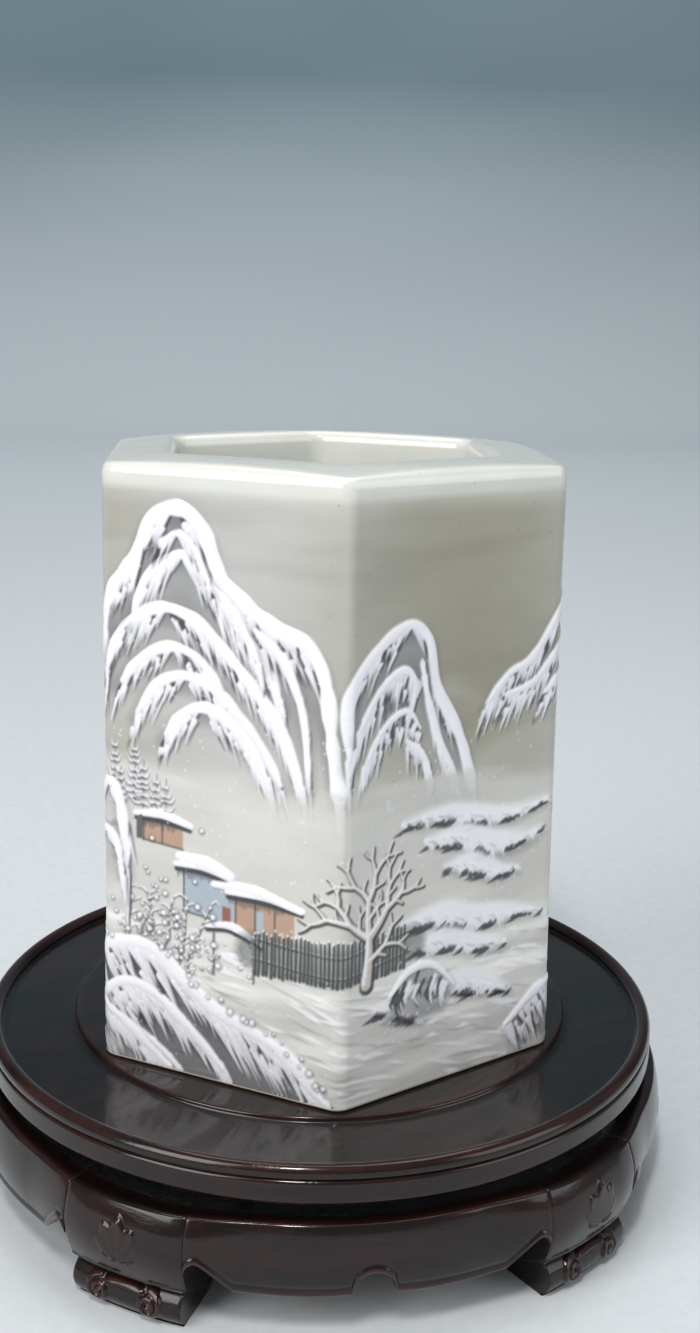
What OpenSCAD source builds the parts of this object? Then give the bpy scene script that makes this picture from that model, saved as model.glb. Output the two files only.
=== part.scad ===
/* [Pot] */
// Width of the pot across its flat sides
pot_flats = 97.5; // [70:0.5:120]
// Height from the pot's foot to the crest of its rim
pot_h = 131; // [90:1:180]
// Width of the domed rim band, from the outside to the mouth
rim_w = 14.5; // [8:0.5:20]
// Radius of the upright edges and of the shoulder
pot_edge_r = 4; // [2:0.5:6]
// Radius of the mouth's upright corners
mouth_corner_r = 5; // [2:0.5:8]
// Thickness of the pot's floor
pot_floor_t = 9; // [5:0.5:15]
// Radius of the gentle dome of the rim
rim_dome_r = 450; // [300:10:900]
// Depth of the hollow under the pot
foot_hollow_h = 2.5; // [1:0.5:4]
// Width of the foot rim round that hollow
foot_rim_w = 9; // [5:0.5:12]

/* [Turning disc] */
// Thickness of the disc under its raised seat
disc_t = 7; // [6.4:0.1:11]
// How far the raised seat stands out past the pot's corners
seat_margin = 1.53; // [0.8:0.01:8]
// Width of the channel between the seat and the bead
channel_w = 16.7; // [8:0.1:24]
// Height of the seat above the channel round it
seat_step = 1.2; // [0.6:0.1:2]
// Radius of the half-round bead round the disc
bead_r = 1.7; // [1.4:0.1:2.2]
// Height of the bead's crest above the seat
bead_rise = 1; // [0:0.1:1.2]

/* [Bearing] */
// Distance from the circle that the balls run on to the back of the aprons
bearing_inset = 20.3; // [17:0.1:26]
// Radius of one ball
ball_r = 2.4; // [1.8:0.1:2.6]
// Number of balls
ball_count = 24; // [12:1:28]
// Half of the gap between the two rings
ring_gap = 1; // [0.8:0.1:1.4]
// Width of each bearing ring
ring_w = 7.6; // [6.5:0.1:8.5]
// Height of each bearing ring
ring_h = 8; // [7:0.1:9.6]
// Clearance over the fixed ring and under the turning one
ring_clear = 1; // [0.6:0.1:1.5]
// Thickness of the ball cage
cage_t = 1; // [0.6:0.1:1.2]
// Number of screws in each ring
screw_count = 6; // [4:1:8]
// Radius of a screw's shank
screw_r = 1.5; // [1:0.1:1.8]
// Radius of a screw's countersunk head
screw_head_r = 2.8; // [2:0.1:3]
// Running clearance between a ball and its groove
ball_fit = 0.05; // [0.02:0.01:0.1]

/* [Base] */
// Height of the base, from the floor to the top of the apron
base_h = 24; // [21:0.5:34]
// Number of legs
leg_count = 5;
// How far the apron at its fullest stands out past the disc
apron_reach = 2.9; // [0:0.1:8]
// Swell of the apron's face past its top edge
apron_swell = 1.4; // [0.6:0.1:2.4]
// Thickness of the apron at its top
apron_t = 7; // [5:0.1:9]
// Height of the apron, from its lower edge to its top
apron_h = 15; // [12.5:0.1:18]
// Swell of a leg's knee past the apron
knee_out = 2.8; // [1:0.1:4]
// Angle that one leg takes up
leg_angle = 19.5; // [14:0.5:24]
// Height of the foot below the knee
foot_h = 8; // [6:0.1:10]
// Radius of the scroll roll on the foot's toe
toe_r = 3.9; // [2.5:0.1:4]
// Radial depth of the leg behind its knee
leg_depth = 18; // [15:0.5:20]
// Radius of the arch at the middle of each apron
arch_r = 4.3; // [2:0.1:6]
// Radius of the round end of the cut-out beside each leg
cut_r = 2.3; // [1:0.1:3]
// Height of the top of that cut-out above the apron's lower edge
cut_rise = 6.5; // [4:0.1:8]
// Width of that cut-out at the lower edge
cut_w = 9; // [6:0.1:11]
// Thickness of the base's deck
deck_t = 12; // [11:0.1:15]
// Depth of the deck's rebate for the outer ring
rebate_h = 6; // [4:0.1:7]
// Radius of the dowels between the legs and the deck
dowel_r = 2.5; // [1.5:0.1:3]
// Length of such a dowel
dowel_len = 13; // [8:0.5:14]
// Thickness of the tongues that join the aprons to the legs
tongue_t = 3; // [2:0.1:4]
// Height of those tongues
tongue_h = 6; // [4:0.1:7]
// Angle that a tongue reaches into its leg
tongue_reach = 3.5; // [2:0.1:5]
// Angle that the base is turned from the pot's front edge
base_turn = 4; // [-36:1:36]

/* [Fits] */
// Clearance round glued and screwed joints
joint_fit = 0.05; // [0.02:0.01:0.1]

/* [Hidden] */
$fn = 96;
past = 1;

porcelain = "#b9b7ae";
wood = "#2b1512";
wood_inside = "#4a2a1c";
zinc = "#9da3a6";
steel = "#c9ced1";
brass = "#b08d48";

sides = 6;
// How far a corner's arc stands past the flats that it meets, so that they cross cleanly
arc_overlap = 0.02;
half_side = 180 / sides;
apothem = pot_flats / 2;
mouth_apothem = apothem - rim_w;
pot_reach = (apothem - pot_edge_r) / cos(half_side) + pot_edge_r;

// Each ring of the stand takes its radius from the one inside or over it
seat_r = pot_reach + seat_margin;
disc_r = seat_r + channel_w + 2 * bead_r;
apron_r = disc_r + apron_reach;
apron_in = apron_r - apron_swell - apron_t;
pitch_r = apron_in - bearing_inset;

// The bearing's height sets the gap between the base and the disc
turn_gap = ring_h + ring_clear - rebate_h;
apron_low = base_h - apron_h;
cut_top = apron_low + cut_rise;

disc_under = base_h + turn_gap;
channel_z = disc_under + disc_t - seat_step;
seat_z = disc_under + disc_t;
bead_ring_r = disc_r - bead_r;
bead_z = seat_z + bead_rise - bead_r;
seat_edge_r = seat_step;
disc_edge_r = 1.2;
band_h = bead_z - disc_under - 0.65 * bead_r;

inner_ring_out = pitch_r - ring_gap;
inner_ring_in = inner_ring_out - ring_w;
outer_ring_in = pitch_r + ring_gap;
outer_ring_out = outer_ring_in + ring_w;
inner_ring_z = disc_under - ring_h;
outer_ring_z = base_h - rebate_h;
ball_z = (inner_ring_z + outer_ring_z + ring_h) / 2;
groove_r = ball_r + ball_fit;
cage_h = 2 * (groove_r + cage_t);
inner_screw_r = (inner_ring_in + inner_ring_out) / 2;
outer_screw_r = (outer_ring_in + outer_ring_out) / 2;
screw_head_h = screw_head_r - screw_r;
deck_z = base_h - deck_t;
outer_screw_low = deck_z + past;
inner_screw_top = disc_under + disc_t - seat_step - past;

deck_r = apron_in - joint_fit;
deck_hole_r = inner_ring_out - screw_r;
rebate_r = outer_ring_out + joint_fit;
ledge_w = 4;
knee_r = apron_r + knee_out;
knee_in = knee_r - leg_depth;
knee_top_r = apron_r - apron_swell;
span = 360 / leg_count;
tongue_r = apron_in + (apron_t - tongue_t) / 2;
tongue_z = (cut_top + base_h - tongue_h) / 2;
dowel_ring_r = (knee_in + apron_in) / 2;
dowel_low = deck_z - dowel_len / 2;

// Radius of the arc that rises by rise over a half chord
function arc_r(half, rise) = (half * half + rise * rise) / (2 * rise);

// A hexagon with one corner to the front and round corners
module round_hexagon(flat_r, corner_r) {
    centre_r = (flat_r - corner_r) / cos(half_side);
    ends = [
        for (i = [0:sides - 1], s = [-1, 1])
            let (a = 2 * half_side * i - 90, b = a + s * half_side)
            [centre_r * cos(a) + corner_r * cos(b), centre_r * sin(a) + corner_r * sin(b)]
    ];
    polygon(ends);
    for (i = [0:sides - 1])
        rotate(2 * half_side * i - 90)
            translate([centre_r, 0]) circle(corner_r + arc_overlap);
}

// A long bar as wide as the pot, with its two upper edges rounded
module shoulder_bar() {
    shoulder_z = pot_h - pot_edge_r;
    rotate([90, 0, 0]) linear_extrude(2 * pot_flats, center = true) {
        translate([-apothem, 0]) square([pot_flats, shoulder_z]);
        translate([pot_edge_r - apothem, 0]) square([pot_flats - 2 * pot_edge_r, pot_h]);
        for (s = [-1, 1])
            translate([s * (apothem - pot_edge_r), shoulder_z]) circle(pot_edge_r);
    }
}

// The pot's outside: three bars crossed, with the upright edges rounded to the same radius
module pot_block() {
    intersection() {
        linear_extrude(pot_h) round_hexagon(apothem, pot_edge_r);
        shoulder_bar();
        rotate(2 * half_side) shoulder_bar();
        rotate(4 * half_side) shoulder_bar();
    }
}

module rim_dome() {
    crest_r = mouth_apothem / cos(half_side);
    dome_z = pot_h - sqrt(rim_dome_r * rim_dome_r - crest_r * crest_r);
    translate([0, 0, dome_z]) sphere(rim_dome_r, $fn = 360);
}

module pot_body() {
    color(porcelain) translate([0, 0, seat_z]) difference() {
        intersection() {
            pot_block();
            rim_dome();
        }
        translate([0, 0, pot_floor_t])
            linear_extrude(pot_h) round_hexagon(mouth_apothem, mouth_corner_r);
        translate([0, 0, -past])
            linear_extrude(foot_hollow_h + past)
                round_hexagon(apothem - foot_rim_w, pot_edge_r);
    }
}

// Half section of the disc: slab, raised seat with a soft edge, and the bead round the rim
module disc_section() {
    translate([0, disc_under]) square([bead_ring_r, channel_z - disc_under]);
    translate([0, disc_under]) square([seat_r - seat_edge_r, disc_t]);
    intersection() {
        translate([seat_r - seat_edge_r, channel_z]) circle(seat_edge_r);
        translate([0, channel_z]) square([seat_r, seat_edge_r]);
    }
    translate([bead_ring_r, bead_z]) circle(bead_r);
    translate([0, disc_under]) square([disc_r - disc_edge_r, band_h]);
    translate([0, disc_under + disc_edge_r]) square([disc_r, band_h - 2 * disc_edge_r]);
    for (z = [disc_edge_r, band_h - disc_edge_r])
        translate([disc_r - disc_edge_r, disc_under + z]) circle(disc_edge_r);
}

module turntable_disc() {
    color(wood) difference() {
        rotate_extrude() disc_section();
        screw_circle(inner_screw_r)
            translate([0, 0, disc_under - past])
                cylinder(h = inner_screw_top - disc_under + past, r = screw_r + joint_fit, $fn = 24);
    }
}

module screw_circle(r) {
    for (i = [0:screw_count - 1])
        rotate(360 / screw_count * i) translate([r, 0, 0]) children();
}

module ball_groove() {
    rotate_extrude() translate([pitch_r, ball_z]) circle(groove_r);
}

module ring(r_in, r_out, z) {
    translate([0, 0, z]) difference() {
        cylinder(h = ring_h, r = r_out);
        translate([0, 0, -past]) cylinder(h = ring_h + 2 * past, r = r_in);
    }
}

// A countersunk screw with its head at z = 0 and its shank going up, grown by fit for its hole
module screw(len, fit = 0) {
    cylinder(h = len, r = screw_r + fit, $fn = 24);
    cylinder(h = screw_head_h, r1 = screw_head_r + fit, r2 = screw_r + fit, $fn = 24);
}

module bearing_inner_ring() {
    color(zinc) difference() {
        ring(inner_ring_in, inner_ring_out, inner_ring_z);
        ball_groove();
        screw_circle(inner_screw_r)
            translate([0, 0, inner_ring_z]) screw(ring_h + past, joint_fit);
    }
}

module inner_ring_screws() {
    color(steel) screw_circle(inner_screw_r)
        translate([0, 0, inner_ring_z]) screw(inner_screw_top - inner_ring_z - past / 2);
}

module bearing_outer_ring() {
    color(zinc) difference() {
        ring(outer_ring_in, outer_ring_out, outer_ring_z);
        ball_groove();
        screw_circle(outer_screw_r)
            translate([0, 0, outer_ring_z + ring_h])
                mirror([0, 0, 1]) screw(ring_h + past, joint_fit);
    }
}

module outer_ring_screws() {
    color(steel) screw_circle(outer_screw_r)
        translate([0, 0, outer_ring_z + ring_h])
            mirror([0, 0, 1]) screw(outer_ring_z + ring_h - outer_screw_low - past / 2);
}

module ball_circle() {
    for (i = [0:ball_count - 1])
        rotate(360 / ball_count * i) translate([pitch_r, 0, ball_z]) children();
}

module bearing_balls() {
    color(steel) ball_circle() sphere(ball_r, $fn = 24);
}

module ball_cage() {
    color(brass) difference() {
        translate([0, 0, ball_z - cage_h / 2]) difference() {
            cylinder(h = cage_h, r = pitch_r + cage_t / 2);
            translate([0, 0, -past]) cylinder(h = cage_h + 2 * past, r = pitch_r - cage_t / 2);
        }
        ball_circle()
            rotate([0, 90, 0]) cylinder(h = 2 * ball_r, r = groove_r, center = true, $fn = 24);
    }
}

module leg_circle() {
    for (i = [1:leg_count]) at_leg(i) children();
}

// Turns a shape that is drawn toward the front to the place of leg i
module at_leg(i) {
    rotate(base_turn + span * (i - 0.5)) children();
}

// Revolves a section over an angle that is centred on the front
module front_sector(angle) {
    rotate(-90 - angle / 2) rotate_extrude(angle = angle) children();
}

module dowel(fit = 0) {
    translate([0, -dowel_ring_r, dowel_low - fit])
        cylinder(h = dowel_len + 2 * fit, r = dowel_r + fit, $fn = 32);
}

module base_deck() {
    color(wood_inside) difference() {
        translate([0, 0, deck_z]) cylinder(h = deck_t, r = deck_r);
        cylinder(h = base_h + past, r = deck_hole_r);
        translate([0, 0, outer_ring_z]) cylinder(h = rebate_h + past, r = rebate_r);
        screw_circle(outer_screw_r)
            translate([0, 0, outer_screw_low])
                cylinder(h = ring_h, r = screw_r + joint_fit, $fn = 24);
        leg_circle() dowel(joint_fit);
    }
}

// Half section of a swelling wall: a flat back, and a face that bows out by swell
module swelling_section(r_in, r_face, z_low, swell) {
    half = (base_h - z_low) / 2;
    bow_r = arc_r(half, swell);
    translate([r_in, z_low]) square([r_face - swell - r_in, 2 * half]);
    intersection() {
        translate([r_face - bow_r, z_low + half]) circle(bow_r, $fn = 180);
        translate([r_face - 2 * swell, z_low]) square([2 * swell, 2 * half]);
    }
}

module tongue_ring(angle, fit = 0) {
    front_sector(angle)
        translate([tongue_r - fit, tongue_z - fit])
            square([tongue_t + 2 * fit, tongue_h + 2 * fit]);
}

// The slanting cut-out beside a leg, drawn flat from the leg's side and cut straight inward
module side_cut() {
    translate([0, -knee_r - past, 0])
        rotate([-90, 0, 0]) linear_extrude(leg_depth) mirror([0, 1]) {
            translate([cut_r - past, cut_top - cut_r]) circle(cut_r);
            polygon([
                [-past, 0], [cut_w, 0], [cut_w, apron_low],
                [2 * cut_r - past, cut_top - cut_r], [-past, cut_top - cut_r]
            ]);
        }
}

module apron_segment() {
    angle = span - leg_angle;
    tongue_angle = angle + 2 * tongue_reach;
    difference() {
        union() {
            front_sector(angle) swelling_section(apron_in, apron_r, apron_low, apron_swell);
            front_sector(angle)
                translate([apron_in - ledge_w, apron_low])
                    square([ledge_w + past, deck_z - apron_low]);
        }
        translate([0, past - apron_in + ledge_w, apron_low + arch_r / 4])
            rotate([90, 0, 0]) cylinder(h = 3 * apron_t, r = arch_r);
        for (s = [0, 1])
            mirror([s, 0, 0]) rotate(-angle / 2) side_cut();
    }
    difference() {
        tongue_ring(tongue_angle);
        tongue_ring(angle - tongue_reach);
    }
}

module apron(i) {
    color(wood) rotate(base_turn + span * (i - 1)) apron_segment();
}

// Half section of a leg: the knee, the ledge under the deck, and the foot with its rolled toe
module leg_section() {
    toe_x = apron_r + knee_out / 2 - toe_r;
    swelling_section(apron_in, knee_r, foot_h, knee_r - knee_top_r);
    translate([knee_in, 0]) square([apron_in - knee_in + past, deck_z]);
    translate([apron_in, 0]) square([toe_x - apron_in, foot_h + past]);
    translate([toe_x, toe_r]) circle(toe_r);
}

module leg(i) {
    color(wood) at_leg(i) difference() {
        front_sector(leg_angle) leg_section();
        for (s = [-1, 1])
            rotate(s * leg_angle / 2) tongue_ring(2 * tongue_reach, joint_fit);
        dowel(joint_fit);
    }
}

module leg_dowels() {
    color(wood_inside) leg_circle() dowel();
}

pot_body();
turntable_disc();
bearing_inner_ring();
inner_ring_screws();
bearing_outer_ring();
outer_ring_screws();
bearing_balls();
ball_cage();
base_deck();
apron(1);  // apron_1
apron(2);  // apron_2
apron(3);  // apron_3
apron(4);  // apron_4
apron(5);  // apron_5
leg(1);  // leg_1
leg(2);  // leg_2
leg(3);  // leg_3
leg(4);  // leg_4
leg(5);  // leg_5
leg_dowels();
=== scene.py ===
"""Looks, light and camera for a six-sided porcelain brush pot on a turning carved stand.

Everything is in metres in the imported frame: the floor is z = 0, the turning axis is Z, and the
pot's front edge points along -Y. Sizes inside the painting and the carving are in millimetres.
"""

import logging
import math
from dataclasses import dataclass, field
from enum import Enum
from typing import Callable, Iterable, Optional, Sequence

import bpy
import numpy as np
from mathutils import Matrix, Vector


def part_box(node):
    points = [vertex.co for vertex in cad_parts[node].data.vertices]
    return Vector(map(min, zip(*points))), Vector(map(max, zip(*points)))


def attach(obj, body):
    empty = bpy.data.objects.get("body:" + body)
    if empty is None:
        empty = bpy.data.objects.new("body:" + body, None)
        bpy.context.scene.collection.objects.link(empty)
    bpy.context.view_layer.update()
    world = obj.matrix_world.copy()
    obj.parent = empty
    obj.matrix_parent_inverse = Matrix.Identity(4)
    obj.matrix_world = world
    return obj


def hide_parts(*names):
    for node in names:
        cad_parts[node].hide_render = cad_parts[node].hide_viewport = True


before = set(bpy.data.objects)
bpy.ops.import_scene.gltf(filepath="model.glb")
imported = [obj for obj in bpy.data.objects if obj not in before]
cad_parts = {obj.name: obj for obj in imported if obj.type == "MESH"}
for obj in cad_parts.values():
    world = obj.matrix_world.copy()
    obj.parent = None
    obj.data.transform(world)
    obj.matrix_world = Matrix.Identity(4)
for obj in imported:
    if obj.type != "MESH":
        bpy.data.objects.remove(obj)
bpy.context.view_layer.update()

LOG = logging.getLogger("brush_pot")
MM = 0.001
SIDES = 6
SIDE_ANGLE = 2 * math.pi / SIDES
# Keeps the pot's skin just inside the CAD walls
INSIDE = 1 - 0.0003


# --- Shader building ---


class Signal:
    """A shader number that can be used in arithmetic."""

    def __init__(self, shading: "Shading", socket: bpy.types.NodeSocket) -> None:
        """Wraps one output socket."""
        self.shading = shading
        self.socket = socket

    def _math(self, operation: str, first: object, second: object) -> "Signal":
        """Adds a Math node for two values or signals."""
        return self.shading.node("ShaderNodeMath", {"operation": operation}, {0: first, 1: second})

    def __add__(self, other: object) -> "Signal":
        """Adds."""
        return self._math("ADD", self, other)

    __radd__ = __add__

    def __sub__(self, other: object) -> "Signal":
        """Subtracts other from this."""
        return self._math("SUBTRACT", self, other)

    def __rsub__(self, other: object) -> "Signal":
        """Subtracts this from other."""
        return self._math("SUBTRACT", other, self)

    def __mul__(self, other: object) -> "Signal":
        """Multiplies."""
        return self._math("MULTIPLY", self, other)

    __rmul__ = __mul__

    def above(self, edge: object) -> "Signal":
        """1 where this is over the edge, else 0."""
        return self._math("GREATER_THAN", self, edge)

    def clamped(self) -> "Signal":
        """This, held between 0 and 1."""
        return self.shading.node("ShaderNodeClamp", {}, {"Value": self})


class Shading:
    """One node material under construction."""

    def __init__(self, name: str) -> None:
        """Starts an empty material.

        Args:
            name: the material's name.
        """
        self.material = bpy.data.materials.new(name)
        self.material.use_nodes = True
        self.tree = self.material.node_tree
        self.tree.nodes.clear()
        self.coordinates = self.tree.nodes.new("ShaderNodeTexCoord")

    def node(self, kind: str, settings: dict, values: dict, output: object = 0) -> Signal:
        """Adds one node.

        Args:
            kind: the node's type.
            settings: attributes that are set before the sockets; "stops" fills a colour ramp.
            values: socket name or index to a value, a Signal or a socket.
            output: name or index of the output that is wanted.

        Returns:
            A Signal on that output.
        """
        made = self.tree.nodes.new(kind)
        for key, value in settings.items():
            if key == "stops":
                self._fill_ramp(made.color_ramp, value)
            else:
                setattr(made, key, value)
        for key, value in values.items():
            socket = made.inputs[key]
            if isinstance(value, Signal):
                self.tree.links.new(value.socket, socket)
            elif isinstance(value, bpy.types.NodeSocket):
                self.tree.links.new(value, socket)
            else:
                socket.default_value = value
        return Signal(self, made.outputs[output])

    @staticmethod
    def _fill_ramp(ramp: bpy.types.ColorRamp, stops: Sequence[tuple]) -> None:
        """Sets a ramp's stops, each a position and a grey or a colour.

        Args:
            ramp: the ramp.
            stops: each a place and a shade.
        """
        while len(ramp.elements) < len(stops):
            ramp.elements.new(0.5)
        for element, (place, shade) in zip(ramp.elements, stops):
            element.position = place
            colour = (shade, shade, shade) if isinstance(shade, (int, float)) else shade
            element.color = (*colour, 1.0)

    def place(self, stretch: Sequence[float] = (1, 1, 1), turn: float = 0.0) -> Signal:
        """Object coordinates in which features are longer along stretched axes, turned about Z."""
        return self.node(
            "ShaderNodeMapping",
            {"vector_type": "TEXTURE"},
            {
                "Vector": self.coordinates.outputs["Object"],
                "Scale": tuple(stretch),
                "Rotation": (0, 0, turn),
            },
        )

    def noise(self, vector: Signal, size: float, detail: float = 3.0, rough: float = 0.55) -> Signal:
        """Cloudy noise whose features are about size metres across."""
        return self.node(
            "ShaderNodeTexNoise",
            {},
            {"Vector": vector, "Scale": 1 / size, "Detail": detail, "Roughness": rough},
        )

    def specks(self, vector: Signal, size: float, share: float) -> Signal:
        """Small round specks, 1 inside, spaced about size metres apart."""
        distance = self.node(
            "ShaderNodeTexVoronoi", {"feature": "F1"}, {"Vector": vector, "Scale": 1 / size}
        )
        return 1 - distance.above(share)

    def ramp(self, signal: Signal, stops: Sequence[tuple]) -> Signal:
        """Colours or greys by a signal."""
        return self.node("ShaderNodeValToRGB", {"stops": stops}, {"Fac": signal})

    def mix(self, share: object, first: object, second: object, blend: str = "MIX") -> Signal:
        """Mixes two colours by a share.

        Args:
            share: how much of the second.
            first: one colour.
            second: the other.
            blend: how they combine.

        Returns:
            The mixed colour.
        """
        made = self.node(
            "ShaderNodeMix", {"data_type": "RGBA", "blend_type": blend}, {"Factor": share}
        ).socket.node
        for index, colour in ((6, first), (7, second)):
            if isinstance(colour, Signal):
                self.tree.links.new(colour.socket, made.inputs[index])
            else:
                made.inputs[index].default_value = (*colour, 1.0)
        return Signal(self, made.outputs[2])

    def attribute(self, name: str, output: str) -> Signal:
        """A mesh attribute's output."""
        return self.node("ShaderNodeAttribute", {"attribute_name": name}, {}, output)

    def bump(self, height: Signal, depth: float, strength: float = 1.0) -> Signal:
        """A normal from a height that spans depth metres."""
        return self.node(
            "ShaderNodeBump", {}, {"Height": height, "Distance": depth, "Strength": strength}, "Normal"
        )

    def finish(self, varying: dict, constants: dict) -> bpy.types.Material:
        """Ends the material in a Principled shader.

        Args:
            varying: sockets fed by signals.
            constants: sockets with one value all over.

        Returns:
            The finished material.
        """
        surface = self.node("ShaderNodeBsdfPrincipled", {}, {**constants, **varying})
        end = self.tree.nodes.new("ShaderNodeOutputMaterial")
        self.tree.links.new(surface.socket, end.inputs["Surface"])
        return self.material


def linear(red: float, green: float, blue: float) -> tuple[float, float, float]:
    """A display colour of 0 to 255 as scene-linear light."""
    return tuple(float(c) for c in to_linear(np.array([red, green, blue], float) / 255))


def to_linear(shades: np.ndarray) -> np.ndarray:
    """Display shades of 0 to 1 as scene-linear light.

    Args:
        shades: the display shades.

    Returns:
        The same in linear light.
    """
    low = shades / 12.92
    high = ((np.maximum(shades, 0) + 0.055) / 1.055) ** 2.4
    return np.where(shades <= 0.04045, low, high)


# --- Finishes ---


@dataclass(frozen=True)
class PaintedGlaze:
    """Overglaze painting under a soft gloss, with raised matter snow enamel."""

    gloss: float = 0.2
    enamel_gloss: float = 0.34

    def build(self) -> bpy.types.Material:
        """The material, which reads the paint and enamel attributes."""
        s = Shading("painted_glaze")
        here = s.place()
        paint = s.attribute("paint", "Color")
        enamel = s.attribute("enamel", "Fac")
        cloud = s.noise(here, 0.012, 4)
        grain = s.noise(here, 0.0006, 3)
        pits = s.specks(here, 0.0045, 0.045)
        shade = s.ramp(cloud, [(0.3, (0.95, 0.955, 0.95)), (0.7, (1.0, 1.0, 0.995))])
        tinted = s.mix(1.0, paint, shade, "MULTIPLY")
        flecked = s.mix(pits * 0.35, tinted, linear(88, 78, 66))
        ripple = s.noise(here, 0.005, 2)
        rough = self.gloss + enamel * (self.enamel_gloss - self.gloss) + (grain - 0.5) * 0.1
        height = ripple * 0.75 + grain * 0.08 - pits * 0.25
        return s.finish(
            {"Base Color": flecked, "Roughness": rough.clamped(), "Normal": s.bump(height, 0.00012)},
            {"IOR": 1.5, "Coat Weight": 0.35, "Coat Roughness": 0.09},
        )


@dataclass(frozen=True)
class BareFoot:
    """Unglazed fired clay on the pot's foot rim."""

    def build(self) -> bpy.types.Material:
        """The material."""
        s = Shading("bare_foot")
        here = s.place()
        cloud = s.noise(here, 0.008, 5)
        sand = s.noise(here, 0.0007, 4)
        colour = s.ramp(cloud, [(0.3, linear(202, 190, 170)), (0.7, linear(222, 214, 200))])
        stained = s.mix(s.specks(here, 0.004, 0.08) * 0.6, colour, linear(150, 118, 84))
        return s.finish(
            {
                "Base Color": stained,
                "Roughness": (0.72 + sand * 0.2).clamped(),
                "Normal": s.bump(sand, 0.00025),
            },
            {},
        )


@dataclass(frozen=True)
class Lacquer:
    """Glossy near-black red lacquer over grained hardwood."""

    name: str
    along: tuple[float, float, float]
    turn: float = 0.0

    def build(self) -> bpy.types.Material:
        """The material: lighter rubbed crests with painted highlight, and painted shade in hollows."""
        s = Shading(self.name)
        here = s.place()
        board = s.place(self.along, self.turn)
        wander = s.noise(board, 0.006, 6, 0.62)
        pores = s.noise(board, 0.0011, 4, 0.7)
        streak = s.ramp(pores, [(0.52, 0.0), (0.68, 1.0)])
        wood = s.ramp(
            wander,
            [
                (0.3, linear(14, 8, 8)),
                (0.48, linear(21, 10, 9)),
                (0.6, linear(36, 16, 13)),
                (0.75, linear(18, 9, 8)),
            ],
        )
        cut = s.mix(streak * 0.8, wood, linear(12, 7, 7))
        wear_and_highlight = s.attribute("wear_and_highlight", "Fac")
        hollow = s.attribute("hollow", "Fac")
        patchy = s.noise(here, 0.004, 4)
        # Lighter reddish lacquer on crests: real wear that also stands as painted highlight.
        rubbed_and_lit = s.mix((wear_and_highlight * (patchy + 0.25)).clamped(), cut, linear(54, 27, 21))
        # Painted shade: near-black in grooves and hollows, under the disc and on hidden faces.
        sunk = s.mix((hollow * 0.85).clamped(), rubbed_and_lit, linear(9, 6, 6))
        dust = s.noise(here, 0.0018, 5, 0.7)
        film = s.ramp(dust, [(0.62, 0.0), (0.8, 1.0)])
        dusty = s.mix(film * 0.06, sunk, linear(120, 112, 106))
        handled = s.noise(here, 0.014, 4)
        rough = 0.11 + handled * 0.1 + streak * 0.08 + hollow * 0.15 + film * 0.1
        height = wander * 0.12 - streak * 0.16 + dust * 0.04
        return s.finish(
            {
                "Base Color": dusty,
                "Roughness": rough.clamped(),
                "Normal": s.bump(height, 0.0001, 0.8),
            },
            {"Coat Weight": 0.3, "Coat Roughness": 0.05, "IOR": 1.45, "Specular IOR Level": 0.35},
        )


@dataclass(frozen=True)
class PlainWood:
    """Oiled inner wood of the deck and dowels."""

    def build(self) -> bpy.types.Material:
        """The material."""
        s = Shading("plain_wood")
        board = s.place((9, 1, 1))
        rings = s.noise(board, 0.018, 5, 0.6)
        pores = s.noise(board, 0.0016, 3, 0.7)
        colour = s.ramp(
            rings,
            [(0.3, linear(84, 50, 34)), (0.5, linear(112, 70, 47)), (0.7, linear(92, 55, 37))],
        )
        cut = s.mix(s.ramp(pores, [(0.5, 0.0), (0.7, 0.8)]), colour, linear(52, 30, 22))
        return s.finish(
            {
                "Base Color": cut,
                "Roughness": (0.5 + pores * 0.25).clamped(),
                "Normal": s.bump(rings * 0.5 - pores * 0.5, 0.0002),
            },
            {},
        )


class Metal(Enum):
    """The metals of the bearing: name, colour, lowest roughness."""

    ZINC = ("zinc_ring", (176, 180, 182), 0.34)
    SCREW = ("screw_steel", (188, 190, 192), 0.26)
    BALL = ("ball_steel", (214, 216, 218), 0.08)
    BRASS = ("cage_brass", (196, 160, 92), 0.3)

    def build(self) -> bpy.types.Material:
        """The material, with fine scratches and dull patches."""
        name, colour, rough = self.value
        s = Shading(name)
        here = s.place()
        scratches = s.noise(s.place((8, 8, 1)), 0.002, 4, 0.7)
        patches = s.noise(here, 0.006, 4)
        bright = linear(*colour)
        dull = tuple(c * 0.62 for c in bright)
        shade = s.mix(s.ramp(patches, [(0.45, 0.0), (0.75, 1.0)]), bright, dull)
        return s.finish(
            {
                "Base Color": shade,
                "Roughness": (rough + scratches * 0.18 + patches * 0.1).clamped(),
                "Normal": s.bump(scratches, 0.00004),
            },
            {"Metallic": 1.0},
        )


@dataclass(frozen=True)
class Paper:
    """Pale seamless backdrop paper."""

    def build(self) -> bpy.types.Material:
        """The material."""
        s = Shading("pale_paper")
        fibre = s.noise(s.place(), 0.003, 4)
        folds = s.noise(s.place((5, 1, 1), 0.3), 0.5, 2)
        floor = s.ramp(fibre, [(0.3, linear(206, 211, 215)), (0.7, linear(213, 217, 220))])
        wall = s.ramp(folds, [(0.3, linear(112, 132, 140)), (0.7, linear(138, 156, 163))])
        height = s.node("ShaderNodeSeparateXYZ", {}, {"Vector": s.coordinates.outputs["Object"]}, "Z")
        tone = s.mix(s.ramp(height * 1.4, [(0.02, 0.0), (0.9, 1.0)]), floor, wall)
        return s.finish({"Base Color": tone, "Roughness": (0.75 + fibre * 0.1).clamped()}, {})


# --- Mesh making ---


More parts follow.
